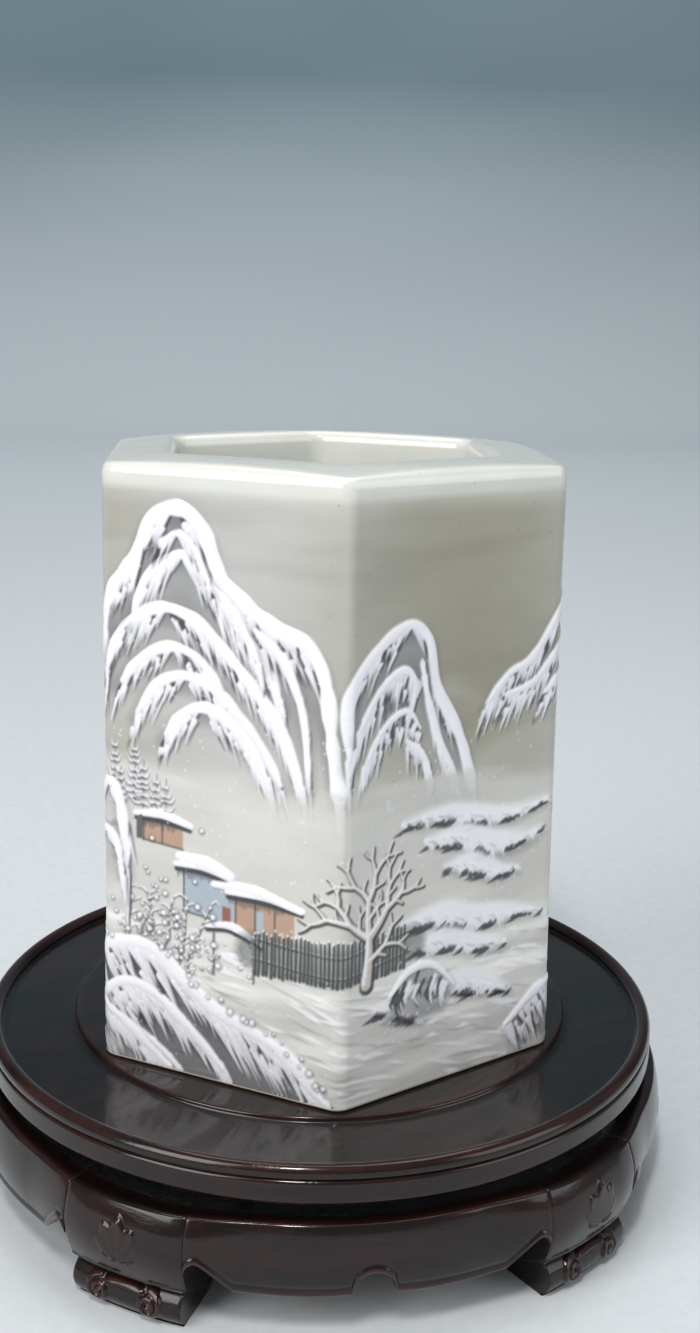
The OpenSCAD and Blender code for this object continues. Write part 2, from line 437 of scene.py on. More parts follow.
@dataclass
class Skin:
    """A grid of points to be one mesh. A closed one goes round, with a cap at each end."""

    points: np.ndarray
    closed: bool = True
    shades: dict[str, np.ndarray] = field(default_factory=dict)
    row_material: Optional[np.ndarray] = None

    def faces(self) -> tuple[np.ndarray, np.ndarray]:
        """Quads between neighbouring points, and the row that each starts in.

        Returns:
            Four point numbers for each quad, and each quad's row.
        """
        rows, columns = self.points.shape[:2]
        index = np.arange(rows * columns).reshape(rows, columns)
        if self.closed:
            index = np.hstack([index, index[:, :1]])
        quads = np.stack([index[:-1, :-1], index[:-1, 1:], index[1:, 1:], index[1:, :-1]], -1)
        starts = np.repeat(np.arange(quads.shape[0]), quads.shape[1])
        return quads.reshape(-1, 4), starts

    def build(
        self,
        name: str,
        materials: Sequence[bpy.types.Material],
        normals: Optional[np.ndarray] = None,
    ) -> bpy.types.Object:
        """Makes the object.

        Args:
            name: the piece's name.
            materials: the piece's material slots.
            normals: exact vertex normals, where neighbours share an edge.

        Returns:
            The new object, linked to the scene.
        """
        rows, columns = self.points.shape[:2]
        quads, starts = self.faces()
        faces = quads.tolist()
        count = len(faces)
        last = (rows - 1) * columns
        if self.closed:
            faces.append(list(range(columns - 1, -1, -1)))
            faces.append(list(range(last, last + columns)))
        mesh = bpy.data.meshes.new(name)
        mesh.from_pydata(self.points.reshape(-1, 3).tolist(), [], faces)
        mesh.update()
        smooth = np.zeros(len(faces), bool)
        smooth[:count] = True
        mesh.polygons.foreach_set("use_smooth", smooth)
        if self.row_material is not None:
            slots = np.zeros(len(faces), np.int32)
            slots[:count] = self.row_material[starts]
            mesh.polygons.foreach_set("material_index", slots)
        for key, shade in self.shades.items():
            store_shade(mesh, key, shade.reshape(rows * columns, -1))
        for material in materials:
            mesh.materials.append(material)
        if normals is not None:
            mesh.normals_split_custom_set_from_vertices(normals.reshape(-1, 3).tolist())
        return link(name, mesh)


def store_shade(mesh: bpy.types.Mesh, name: str, values: np.ndarray) -> None:
    """Stores a colour or a number on each point of a mesh.

    Args:
        mesh: the mesh.
        name: the attribute's name.
        values: one row for each point.
    """
    if values.shape[1] == 3:
        layer = mesh.attributes.new(name, "FLOAT_COLOR", "POINT")
        packed = np.ones((len(values), 4), np.float32)
        packed[:, :3] = values
        layer.data.foreach_set("color", packed.ravel())
    else:
        layer = mesh.attributes.new(name, "FLOAT", "POINT")
        layer.data.foreach_set("value", values[:, 0].astype(np.float32))


def link(name: str, mesh: bpy.types.Mesh) -> bpy.types.Object:
    """Puts a mesh into the scene as an object.

    Args:
        name: the object's name.
        mesh: its mesh.

    Returns:
        The object.
    """
    made = bpy.data.objects.new(name, mesh)
    bpy.context.scene.collection.objects.link(made)
    return made


def mount_piece(
    piece: bpy.types.Object, body: str, nodes: Iterable[str] = ()
) -> bpy.types.Object:
    """Rides a piece on a body and hides what it stands for.

    Args:
        piece: the finished object.
        body: the CAD body that it moves with.
        nodes: CAD nodes that the piece stands for.

    Returns:
        The piece.
    """
    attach(piece, body)
    if nodes:
        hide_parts(*nodes)
    LOG.info("%s: %d faces on %s", piece.name, len(piece.data.polygons), body)
    return piece


def smooth_step(low: float, high: float, value: np.ndarray) -> np.ndarray:
    """0 below low, 1 above high, and an even curve between."""
    t = np.clip((value - low) / (high - low), 0, 1)
    return t * t * (3 - 2 * t)


def arc(centre: tuple[float, float], radius: float, start: float, end: float, steps: int) -> list:
    """Points on an arc, with its angles in degrees."""
    turns = np.radians(np.linspace(start, end, steps))
    return [(centre[0] + radius * math.cos(t), centre[1] + radius * math.sin(t)) for t in turns]


# --- The painting ---

Path = Sequence[tuple[float, float]]


class Ink(Enum):
    """Overglaze colours as display shades."""

    SNOW = (238, 236, 242)
    GLAZE = (216, 216, 210)
    SKY = (186, 185, 182)
    OLIVE_SKY = (157, 153, 137)
    MIST = (204, 202, 198)
    BODY = (142, 142, 144)
    SHADE = (92, 92, 96)
    DARK = (48, 48, 51)
    FENCE = (44, 48, 46)
    WALL = (164, 176, 186)
    GABLE = (84, 84, 88)
    PANEL = (178, 146, 126)
    DOOR = (142, 86, 78)
    BARK = (198, 190, 180)
    TRUNK = (104, 100, 98)

    @property
    def shade(self) -> np.ndarray:
        """The colour as display values of 0 to 1."""
        return np.array(self.value, float) / 255


def smooth_path(path: Path, step: float = 0.9) -> np.ndarray:
    """A rounded line through points.

    Args:
        path: the points in millimetres.
        step: the distance between the points that come back.

    Returns:
        The line's points.
    """
    knots = np.array(path, float)
    if len(knots) < 3:
        return knots
    padded = np.vstack([2 * knots[0] - knots[1], knots, 2 * knots[-1] - knots[-2]])
    parts = []
    for a, b, c, d in zip(padded[:-3], padded[1:-2], padded[2:-1], padded[3:]):
        count = max(2, int(np.hypot(*(c - b)) / step))
        t = np.linspace(0, 1, count, endpoint=False)[:, None]
        square, cube = 2 * a - 5 * b + 4 * c - d, 3 * b - a - 3 * c + d
        parts.append(0.5 * (2 * b + (c - a) * t + square * t**2 + cube * t**3))
    return np.vstack([*parts, knots[-1:]])


class Canvas:
    """A picture wrapped round the pot, with its raised enamel."""

    def __init__(self, around: float, tall: float, density: float, seed: int) -> None:
        """Starts a bare canvas.

        Args:
            around: the distance round the pot in millimetres, where the picture meets itself.
            tall: its height in millimetres.
            density: samples in a millimetre.
            seed: fixes everything random.
        """
        self.around, self.tall, self.density = around, tall, density
        self.shape = (round(tall * density), round(around * density))
        self.colour = np.ones((*self.shape, 3), np.float32)
        self.relief = np.zeros(self.shape, np.float32)
        self.enamel = np.zeros(self.shape, np.float32)
        self.random = np.random.default_rng(seed)

    def cloud(self, wide: float, high: float, octaves: int = 4) -> np.ndarray:
        """Soft noise of 0 to 1 that meets itself round the pot.

        Args:
            wide: the width of its largest features in millimetres.
            high: their height.
            octaves: how many finer layers it has.

        Returns:
            One value for each sample.
        """
        total, weight, scale = np.zeros(self.shape), 0.0, 1.0
        for _ in range(octaves):
            across = max(2, round(self.around * scale / wide))
            up = max(2, round(self.tall * scale / high))
            grid = self.random.random((up + 2, across))
            x = np.arange(self.shape[1]) * across / self.shape[1]
            y = np.arange(self.shape[0]) * up / self.shape[0]
            x0, y0 = x.astype(int), y.astype(int)
            fx, fy = smooth_step(0, 1, x - x0), smooth_step(0, 1, y - y0)[:, None]
            x1 = (x0 + 1) % across
            low = grid[y0][:, x0] * (1 - fx) + grid[y0][:, x1] * fx
            high_row = grid[y0 + 1][:, x0] * (1 - fx) + grid[y0 + 1][:, x1] * fx
            total += (low * (1 - fy) + high_row * fy) / scale
            weight += 1 / scale
            scale *= 2
        return total / weight

    def _window(self, low: np.ndarray, high: np.ndarray) -> tuple[int, int, int, int]:
        """First row, last row, first column and last column that hold a box in millimetres.

        Args:
            low: the box's lower left corner.
            high: its upper right corner.

        Returns:
            The four numbers.
        """
        first_row = max(0, int(low[1] * self.density))
        last_row = min(self.shape[0], int(high[1] * self.density) + 2)
        first_column = math.floor(low[0] * self.density)
        last_column = math.ceil(high[0] * self.density) + 1
        return first_row, last_row, first_column, last_column

    def _lay(
        self,
        row: int,
        column: int,
        cover: np.ndarray,
        colour: np.ndarray,
        raised: Optional[np.ndarray],
        matt: float,
    ) -> None:
        """Blends a colour, and a height where there is one, over part of the canvas.

        Args:
            row: the first row.
            column: the first column.
            cover: how well each sample is covered.
            colour: what is laid on.
            raised: the enamel's height, if any.
            matt: 1 for matt enamel, 0 for glaze.
        """
        rows = np.arange(row, row + cover.shape[0])
        columns = np.arange(column, column + cover.shape[1]) % self.shape[1]
        where = np.ix_(rows, columns)
        k = cover[..., None]
        self.colour[where] = self.colour[where] * (1 - k) + colour * k
        self.enamel[where] = self.enamel[where] * (1 - cover) + matt * cover
        if raised is not None:
            self.relief[where] = np.maximum(self.relief[where] * (1 - 0.6 * cover), raised)

    def stroke(
        self,
        path: Path,
        widths: Sequence[float],
        ink: Ink,
        strength: float = 1.0,
        soft: float = 0.22,
        raised: float = 0.0,
        fade: float = 0.0,
    ) -> None:
        """Draws one brush stroke.

        Args:
            path: the points it goes through.
            widths: its widths along the way, in millimetres.
            ink: its colour.
            strength: how well it covers.
            soft: the width of its soft edge.
            raised: how high the enamel stands, or 0 for a flat stroke.
            fade: how much of its strength is lost by its end.
        """
        line = smooth_path(path)
        count = len(line)
        half = np.interp(np.linspace(0, 1, count), np.linspace(0, 1, len(widths)), widths) / 2
        reach = float(half.max()) + soft
        r0, r1, c0, c1 = self._window(line.min(0) - reach, line.max(0) + reach)
        if r1 <= r0:
            return
        across = (np.arange(c0, c1) + 0.5) / self.density
        up = (np.arange(r0, r1) + 0.5) / self.density
        cover, dome = np.zeros((r1 - r0, c1 - c0)), np.zeros((r1 - r0, c1 - c0))
        for i in range(count - 1):
            a, b = line[i], line[i + 1]
            near = max(half[i], half[i + 1]) + soft
            x0, x1 = np.searchsorted(across, (min(a[0], b[0]) - near, max(a[0], b[0]) + near))
            y0, y1 = np.searchsorted(up, (min(a[1], b[1]) - near, max(a[1], b[1]) + near))
            dx, dy = across[x0:x1][None, :] - a[0], up[y0:y1][:, None] - a[1]
            way = b - a
            t = np.clip((dx * way[0] + dy * way[1]) / max(way @ way, 1e-9), 0, 1)
            off = np.hypot(dx - t * way[0], dy - t * way[1])
            wide = half[i] + t * (half[i + 1] - half[i])
            ink_here = np.clip((wide + soft / 2 - off) / soft, 0, 1) * (
                1 - fade * (i + t) / (count - 1)
            )
            np.maximum(cover[y0:y1, x0:x1], ink_here, out=cover[y0:y1, x0:x1])
            if raised:
                swell = np.sqrt(np.clip(1 - (off / (wide + soft / 2)) ** 2, 0, 1))
                swell *= np.minimum(1, wide / 0.5)
                np.maximum(dome[y0:y1, x0:x1], swell, out=dome[y0:y1, x0:x1])
        height = dome * raised if raised else None
        self._lay(r0, c0, cover * strength, ink.shade, height, float(raised > 0))

    def patch(self, corners: Path, ink: Ink, strength: float = 1.0, soft: float = 0.2) -> None:
        """Fills a convex shape whose corners go round anticlockwise.

        Args:
            corners: its corners.
            ink: its colour.
            strength: how well it covers.
            soft: the width of its soft edge.
        """
        points = np.array(corners, float)
        r0, r1, c0, c1 = self._window(points.min(0) - soft, points.max(0) + soft)
        across = ((np.arange(c0, c1) + 0.5) / self.density)[None, :]
        up = ((np.arange(r0, r1) + 0.5) / self.density)[:, None]
        inside = np.full((r1 - r0, c1 - c0), 1e9)
        for a, b in zip(points, np.roll(points, -1, 0)):
            way = (b - a) / np.hypot(*(b - a))
            inside = np.minimum(inside, way[0] * (up - a[1]) - way[1] * (across - a[0]))
        self._lay(r0, c0, np.clip(inside / soft + 0.5, 0, 1) * strength, ink.shade, None, 0.0)

    def wash(
        self, crest: Path, foot: Path, top: Ink, bottom: Ink, strength: float = 1.0, fade: float = 0.5
    ) -> None:
        """Fills from a crest line down to a foot line.

        Args:
            crest: the upper line, from left to right.
            foot: the lower line, from left to right.
            top: the colour under the crest.
            bottom: the colour that it turns into.
            strength: how well it covers.
            fade: how far down, of 1, it starts to thin out.
        """
        upper, lower = smooth_path(crest), smooth_path(foot)
        r0, r1, c0, c1 = self._window(
            np.array([upper[0, 0], lower[:, 1].min()]), np.array([upper[-1, 0], upper[:, 1].max() + 1])
        )
        across = (np.arange(c0, c1) + 0.5) / self.density
        up = ((np.arange(r0, r1) + 0.5) / self.density)[:, None]
        ceiling = np.interp(across, upper[:, 0], upper[:, 1])
        floor = np.minimum(np.interp(across, lower[:, 0], lower[:, 1]), ceiling - 0.5)
        t = (ceiling - up) / (ceiling - floor)
        sides = np.minimum(across - across[0], across[-1] - across)
        cover = (t > 0) * (1 - smooth_step(fade, 1, t)) * smooth_step(0, 1.5, sides) * strength
        shade = top.shade + np.clip(t, 0, 1)[..., None] * (bottom.shade - top.shade)
        self._lay(r0, c0, cover, shade, None, 0.0)

    def sample(self, layer: np.ndarray, u: np.ndarray, v: np.ndarray) -> np.ndarray:
        """Reads a layer at places round and up the pot, softened a little.

        Args:
            layer: colour, relief or enamel.
            u: places round the pot in millimetres.
            v: heights in millimetres.

        Returns:
            One row for each height.
        """
        x = u * self.density - 0.5
        y = np.clip(v * self.density - 0.5, 0, self.shape[0] - 2)
        x0, y0 = np.floor(x).astype(int), np.floor(y).astype(int)
        fx, fy = (x - x0)[None, :], (y - y0)[:, None]
        if layer.ndim == 3:
            fx, fy = fx[..., None], fy[..., None]
        left, right = x0 % self.shape[1], (x0 + 1) % self.shape[1]
        low = layer[y0][:, left] * (1 - fx) + layer[y0][:, right] * fx
        high = layer[y0 + 1][:, left] * (1 - fx) + layer[y0 + 1][:, right] * fx
        return low * (1 - fy) + high * fy

    def soften(self, layer: np.ndarray, reach: int) -> np.ndarray:
        """A layer averaged over a small square, meeting itself round the pot.

        Args:
            layer: colour, relief or enamel.
            reach: half the square's side in samples.

        Returns:
            Its points, their rubbing with painted highlight, and their painted shade in hollows.
        """
        total = np.zeros_like(layer)
        for shift in range(-reach, reach + 1):
            total += np.roll(layer, shift, 1)
        side = total / (2 * reach + 1)
        padding = [(reach, reach)] + [(0, 0)] * (layer.ndim - 1)
        tall = np.pad(side, padding, mode="edge")
        return sum(tall[i : i + layer.shape[0]] for i in range(2 * reach + 1)) / (2 * reach + 1)


@dataclass
class Fold:
    """One snow-capped fold of a mountain, or a snowy bank."""

    crest: Path
    cap: float = 2.0
    drop: float = 9.0
    lean: Optional[float] = None
    thick: float = 1.0
    darkness: float = 0.85

    def flow(self, way: np.ndarray) -> np.ndarray:
        """The direction in which snow runs off the crest where the crest goes one way.

        Args:
            way: the crest's direction.

        Returns:
            A direction.
        """
        if self.lean is not None:
            angle = math.radians(self.lean)
            return np.array([math.cos(angle), math.sin(angle)])
        side = way[0] if way[1] < 0 else -way[0]
        run = np.array([side * 0.55, -1.0])
        return run / np.hypot(*run)


@dataclass
class SnowPainter:
    """Paints one snowy river valley that goes right round the pot."""

    face: float
    tall: float
    density: float = 7.0
    seed: int = 11

    def __post_init__(self) -> None:
        """Starts the canvas and takes up its brushes."""
        self.canvas = Canvas(SIDES * self.face, self.tall, self.density, self.seed)
        self.stroke, self.wash, self.patch = self.canvas.stroke, self.canvas.wash, self.canvas.patch
        self.random = self.canvas.random

    def paint(self) -> Canvas:
        """Paints everything, from the sky to the nearest snow.

        Returns:
            The finished canvas.
        """
        self.sky()
        self.far_hills()
        self.great_peak()
        self.side_peak()
        self.back_peaks()
        self.valley_mist()
        self.ground()
        self.river_banks()
        self.back_country()
        self.pine_grove(-47, 56, 6)
        self.cottages()
        self.village()
        self.fence(-20, 17, 26)
        self.thicket(-43, 30, 9, 12)
        self.tree(6, 26, 33)
        self.rock(20, 21, 9.0)
        self.near_mound()
        self.snowfall()
        self.top_glaze()
        return self.canvas

    def jitter(self, reach: float) -> float:
        """A random number from -reach to reach."""
        return float(self.random.uniform(-reach, reach))

    def sky(self) -> None:
        """Lays the clouded grey sky, greener on every other face."""
        canvas = self.canvas
        u = (np.arange(canvas.shape[1]) + 0.5) / canvas.density
        v = ((np.arange(canvas.shape[0]) + 0.5) / canvas.density)[:, None]
        turn = 0.5 + 0.5 * np.sin((u - 2) / canvas.around * 2 * math.pi * 3)
        sky = Ink.SKY.shade + turn[:, None] * (Ink.OLIVE_SKY.shade - Ink.SKY.shade)
        canvas.colour[:] = sky[None, :, :]
        drift = canvas.cloud(60, 16, 5)
        streak = canvas.cloud(34, 5, 4)
        lighter = smooth_step(0.5, 0.8, drift * 0.7 + streak * 0.3)
        darker = smooth_step(0.5, 0.8, 1 - (drift * 0.6 + streak * 0.4))
        canvas.colour += (lighter * 0.085 - darker * 0.06)[..., None]
        canvas.colour -= (smooth_step(120, 92, v) * smooth_step(66, 84, v) * 0.03)[..., None]
        low = smooth_step(78, 50, v) * 0.75
        canvas.colour[:] = canvas.colour * (1 - low[..., None]) + Ink.MIST.shade * low[..., None]

    def fold(self, fold: Fold) -> None:
        """Paints a fold's shadow drops, snow drips and snowy crest.

        Args:
            fold: the fold.
        """
        line = smooth_path(fold.crest, 0.7)
        ways = np.gradient(line, axis=0)
        ways /= np.hypot(ways[:, 0], ways[:, 1])[:, None] + 1e-9
        length = float(np.hypot(*np.diff(line, axis=0).T).sum())
        under = line + np.array([fold.flow(w) for w in ways]) * fold.cap * 0.9
        self.stroke(under.tolist(), [fold.cap * 1.3], Ink.SHADE, 0.42 * fold.darkness, 2.6)
        self._slits(fold, line, ways, int(length / 0.3))
        self._drips(fold, line, ways, int(length / 0.6))
        widths = fold.cap * (0.75 + 0.5 * self.random.random(max(4, int(length / 3))))
        widths[0] *= 0.4
        widths[-1] *= 0.4
        self.stroke(fold.crest, widths.tolist(), Ink.SNOW, 1.0, 0.3, 0.34)
        for _ in range(int(length * 0.7)):
            at = int(self.random.integers(0, len(line)))
            spot = line[at] + fold.flow(ways[at]) * fold.drop * (0.2 + 0.6 * self.random.random())
            self.dot(spot[0] + self.jitter(0.8), spot[1] + self.jitter(0.8), 0.3, 0.14)

    def _slits(self, fold: Fold, line: np.ndarray, ways: np.ndarray, count: int) -> None:
        """Paints the dark slits in the shade of a crest, paler further down.

        Args:
            fold: the fold.
            line: its crest.
            ways: the crest's directions.
            count: how many slits.
        """
        for _ in range(count):
            at = int(self.random.integers(0, len(line)))
            run = fold.flow(ways[at])
            depth = self.random.random() ** 1.5
            start = line[at] + run * (fold.cap * 0.45 + depth * fold.drop * 0.7)
            reach = fold.drop * (0.14 + 0.26 * self.random.random())
            wide = (0.5 + 0.5 * self.random.random()) * fold.thick
            strength = fold.darkness * (1 - 0.6 * depth)
            self._drip(start, run, reach, [wide * 0.7, wide, 0.12], Ink.DARK, strength, 0)

    def _drips(self, fold: Fold, line: np.ndarray, ways: np.ndarray, count: int) -> None:
        """Paints the snow that runs down from a crest in short and long tongues.

        Args:
            fold: the fold.
            line: its crest.
            ways: the crest's directions.
            count: how many tongues.
        """
        for i in range(count):
            at = min(len(line) - 1, int((i + self.random.random()) / count * len(line)))
            run = fold.flow(ways[at])
            depth = self.random.random() ** 1.8
            long = 0.22 + 0.75 * self.random.random() ** 2.2
            reach = fold.drop * long * (1.15 - 0.5 * depth)
            wide = (0.45 + 0.6 * self.random.random()) * fold.thick * (1.2 - 0.6 * depth)
            start = line[at] + run * depth * fold.drop * 0.65
            shadow = start + np.array([0.34, -0.3]) * fold.thick
            self._drip(
                shadow, run, reach, [wide * 1.5, wide * 1.15, 0.2], Ink.DARK, 0.62 * fold.darkness, 0
            )
            self._drip(start, run, reach, [wide * 1.5, wide, 0.12], Ink.SNOW, 0.95, 0.22)

    def _drip(
        self, start: np.ndarray, run: np.ndarray, reach: float, widths: list, ink: Ink,
        strength: float, raised: float
    ) -> None:
        """Paints one drip that bends down as it runs.

        Args:
            start: where it starts.
            run: its direction.
            reach: its length.
            widths: its widths along the way.
            ink: its colour.
            strength: how well it covers.
            raised: how high it stands.
        """
        bend = np.array([self.jitter(0.12), -0.28])
        middle = start + run * reach * 0.5 + bend * reach * 0.08
        end = start + (run + bend * 0.55) * reach
        path = [tuple(start), tuple(middle), tuple(end)]
        self.stroke(path, widths, ink, strength, 0.2, raised, 0.25 if raised else 0.5)

    def dot(self, u: float, v: float, size: float, raised: float = 0.2, halo: bool = False) -> None:
        """Paints a dot of snow, on a dark halo if asked."""
        if halo:
            self.stroke([(u, v - 0.1), (u + 0.1, v - 0.2)], [size * 1.6], Ink.DARK, 0.5, size * 0.8)
        self.stroke([(u, v), (u + 0.05, v)], [size], Ink.SNOW, 1.0, 0.15, raised)

    def mountain(self, crest: Path, foot: Path, folds: Sequence[Fold]) -> None:
        """Paints a mountain's body, its outer fold and the folds inside it.

        Args:
            crest: its outline.
            foot: where it fades out.
            folds: its folds, from back to front.
        """
        self.wash(crest, foot, Ink.SHADE, Ink.MIST, 0.8, 0.45)
        for fold in folds:
            lowered = [(u, v - fold.drop * 1.05) for u, v in fold.crest]
            ordered = sorted(fold.crest)
            self.wash(ordered, sorted(lowered), Ink.BODY, Ink.MIST, 0.55, 0.3)
            self.fold(fold)

    def far_hills(self) -> None:
        """Paints pale hills and bands of cloud low in the sky."""
        for start in range(0, int(self.canvas.around), 27):
            u = start + self.jitter(8)
            v = 74 + self.jitter(10)
            line = [(u - 18, v - 4), (u - 6, v + self.jitter(2)), (u + 5, v + 2.5), (u + 19, v - 3)]
            self.stroke(line, [0.5, 4, 5, 0.5], Ink.MIST, 0.3, 5)

    def great_peak(self) -> None:
        """Paints the great snowy peak on the left front face."""
        crest = [
            (-57, 86), (-55.5, 101), (-49, 110), (-44, 119), (-37.5, 121), (-32, 117), (-27.5, 107.5),
            (-17, 99.5), (-8, 96), (-4.2, 89), (-2.6, 78), (-0.6, 64),
        ]  # fmt: skip
        foot = [(-57, 66), (-44, 70), (-34, 66), (-20, 64), (-8, 63), (0, 61)]
        folds = [
            Fold(crest, 3.0, 12, None, 1.25),
            Fold(
                [(-49, 98), (-46, 106), (-39, 111.5), (-34, 110), (-26, 100), (-18, 92), (-14, 84)], 2.0, 10
            ),
            Fold([(-20, 98), (-13, 92), (-9, 82), (-7.5, 68)], 1.8, 8),
            Fold(
                [(-55, 90), (-50, 96.5), (-42, 100.5), (-33, 98), (-25, 91), (-15, 80), (-9, 67)], 2.5, 10
            ),
            Fold([(-56, 84), (-54, 92), (-50, 97)], 1.8, 8),
            Fold([(-52, 84), (-47, 89.5), (-40, 92.5), (-33, 90.5), (-27, 84)], 2.2, 8),
            Fold([(-48, 78), (-43, 84.5), (-36, 86.8), (-28, 84), (-20, 76), (-14, 67)], 2.4, 9),
            Fold([(-41, 74), (-36, 79.5), (-30, 80.5), (-23, 76), (-17, 68)], 2.4, 8.5, None, 1.2),
        ]
        self.mountain(crest, foot, folds)
        self.fold(Fold([(-30, 106), (-24, 100), (-19, 91)], 1.6, 8))
        self.fold(Fold([(-42, 114), (-38, 116), (-34, 113), (-30, 105)], 1.3, 6))

    def side_peak(self) -> None:
        """Paints the small peak on the right front face and the hill at its far edge."""
        crest = [
            (1, 74), (0.8, 86), (6, 94), (14.5, 99.5), (20, 96.5), (22.5, 86), (28, 77), (33.5, 63)
        ]
        foot = [(0, 66), (10, 68), (22, 65), (34, 61)]
        folds = [
            Fold(crest, 2.4, 9.5, None, 1.05),
            Fold([(3, 79), (8, 87), (14, 90.5), (18, 87)], 1.6, 9, -103),
            Fold([(4.5, 72), (9.5, 79.5), (15, 82), (18.5, 78)], 1.5, 8, -100),
            Fold([(18.5, 92), (20.5, 83), (24, 74), (29, 65)], 1.7, 8, -80),
            Fold([(15, 76), (19, 73), (22, 66)], 1.2, 6, -84),
        ]
        self.mountain(crest, foot, folds)
        hill = [
            (36, 81), (42, 86.5), (48, 89), (55, 97.5), (62, 106), (70, 111), (80, 103), (92, 92), (104, 79)
        ]
        self.mountain(
            hill,
            [(36, 78), (60, 74), (86, 72), (105, 73)],
            [
                Fold(hill, 2.0, 8.5, None, 0.9),
                Fold([(41, 82), (49, 84), (57, 92), (66, 102), (76, 97), (88, 85)], 1.6, 8),
                Fold([(52, 81), (61, 88), (69, 92), (80, 84), (86, 78)], 1.7, 7.5),
            ],
        )

    def back_peaks(self) -> None:
        """Paints the mountains on the faces away from the front."""
        peak = [
            (112, 68), (118, 84), (128, 92), (136, 106), (143, 110), (152, 101), (160, 96),
            (171, 78), (178, 66)
        ]
        self.mountain(
            peak,
            [(111, 62), (130, 66), (152, 64), (179, 60)],
            [
                Fold(peak, 2.6, 11, None, 1.15),
                Fold([(122, 78), (130, 89), (140, 100), (150, 93), (158, 80)], 2.0, 9),
                Fold([(128, 72), (136, 84), (144, 90), (152, 82), (160, 70)], 2.0, 9),
                Fold([(158, 88), (165, 82), (172, 70)], 1.6, 7),
            ],
        )
        far = [(188, 78), (196, 84), (206, 95), (213, 99), (221, 92), (228, 80), (236, 68)]
        self.mountain(
            far,
            [(188, 70), (212, 68), (237, 64)],
            [
                Fold(far, 2.2, 9, None, 1.0),
                Fold([(199, 78), (207, 88), (214, 91), (221, 83), (226, 74)], 1.7, 8),
                Fold([(205, 73), (211, 81), (217, 79), (222, 70)], 1.6, 7),
            ],
        )
        last = [(240, 76), (248, 88), (257, 96), (266, 91), (273, 82), (280, 86)]
        self.mountain(
            last,
            [(240, 70), (262, 67), (281, 70)],
            [Fold(last, 2.0, 9, None, 1.0), Fold([(249, 78), (257, 87), (264, 83), (269, 75)], 1.8, 8)],
        )

    def valley_mist(self) -> None:
        """Lays mist over the feet of the mountains."""
        canvas = self.canvas
        v = ((np.arange(canvas.shape[0]) + 0.5) / canvas.density)[:, None]
        drift = canvas.cloud(26, 6, 4)
        edge = v + (drift - 0.5) * 16
        band = smooth_step(68, 60, edge) * smooth_step(38, 54, v) * 0.9
        tone = Ink.MIST.shade - (canvas.cloud(18, 4, 4)[..., None] - 0.5) * 0.1
        canvas.colour[:] = canvas.colour * (1 - band[..., None]) + tone * band[..., None]
        canvas.relief *= 1 - band * 0.9
        canvas.enamel *= 1 - band * 0.8

    def ground(self) -> None:
        """Lays the snowy ground with long streaks."""
        canvas = self.canvas
        v = ((np.arange(canvas.shape[0]) + 0.5) / canvas.density)[:, None]
        edge = v + (canvas.cloud(30, 9, 4) - 0.5) * 14
        snow = smooth_step(46, 28, edge) * 0.92
        tone = Ink.MIST.shade + (canvas.cloud(22, 3.2, 4)[..., None] - 0.36) * 0.34
        canvas.colour[:] = canvas.colour * (1 - snow[..., None]) + tone * snow[..., None]
        for _ in range(620):
            u = self.random.uniform(0, canvas.around)
            height = self.random.uniform(1, 30)
            long = self.random.uniform(3, 11)
            slope = -0.18 + self.jitter(0.16)
            middle = (u + long / 2, height + slope * long / 2 + self.jitter(0.4))
            path = [(u, height), middle, (u + long, height + slope * long)]
            if self.random.random() < 0.62:
                self.stroke(path, [0.1, 0.9, 0.1], Ink.SNOW, 0.75, 0.35, 0.12)
            else:
                self.stroke(path, [0.1, 0.5, 0.1], Ink.SHADE, 0.3, 0.4)

    def bank(self, line: Path, thick: float = 4.0) -> None:
        """Paints a bank of snow whose broken lower edge hangs over dark rock.

        Args:
            line: its top.
            thick: its thickness.
        """
        points = smooth_path(line, 0.7)
        lower = [(u + 1.2, v - thick * 0.5) for u, v in points]
        self.stroke(lower, [0.5, thick * 1.2, thick * 0.9, 0.3], Ink.SHADE, 0.3, 1.8)
        self.stroke(line, [0.6, thick * 1.35, thick * 1.1, 0.4], Ink.SNOW, 0.92, 1.5, 0.14)
        phase = self.random.uniform(0, 6)
        for i, (u, v) in enumerate(points):
            swell = (0.35 + 0.65 * math.sin(math.pi * min(1.0, i / len(points) * 1.1 + 0.08))) * thick
            gate = 0.5 + 0.5 * math.sin(i * 0.5 + phase) + self.jitter(0.4)
            edge = v - swell * 0.6
            if gate > 0.4:
                long = 0.7 + 2.6 * gate * self.random.random()
                path = [
                    (u + 1.0, edge + 0.55), (u, edge - 0.2 * long), (u - long * 0.95, edge - 0.5 * long)
                ]
                self.stroke(path, [0.35, 1.0, 0.12], Ink.DARK, 0.82, 0.3)
            if self.random.random() < 0.28:
                path = [(u - 1.4, v - 0.3), (u, v - swell * 0.25), (u + 1.0, v - swell * 0.5)]
                self.stroke(path, [0.1, 0.4, 0.1], Ink.BODY, 0.55, 0.3)
            if self.random.random() < 0.55:
                tip = swell * (0.6 + 0.55 * self.random.random())
                path = [
                    (u - 0.2, v - 0.2), (u + 0.6, v - tip * 0.5), (u + 1.3 + self.jitter(0.5), v - tip)
                ]
                self.stroke(path, [1.2, 0.85, 0.15], Ink.SNOW, 0.9, 0.3, 0.2)
            if self.random.random() < 0.35:
                self.dot(u + self.jitter(1.5), v - thick * 0.7 + self.jitter(1.2), 0.35, 0.15)

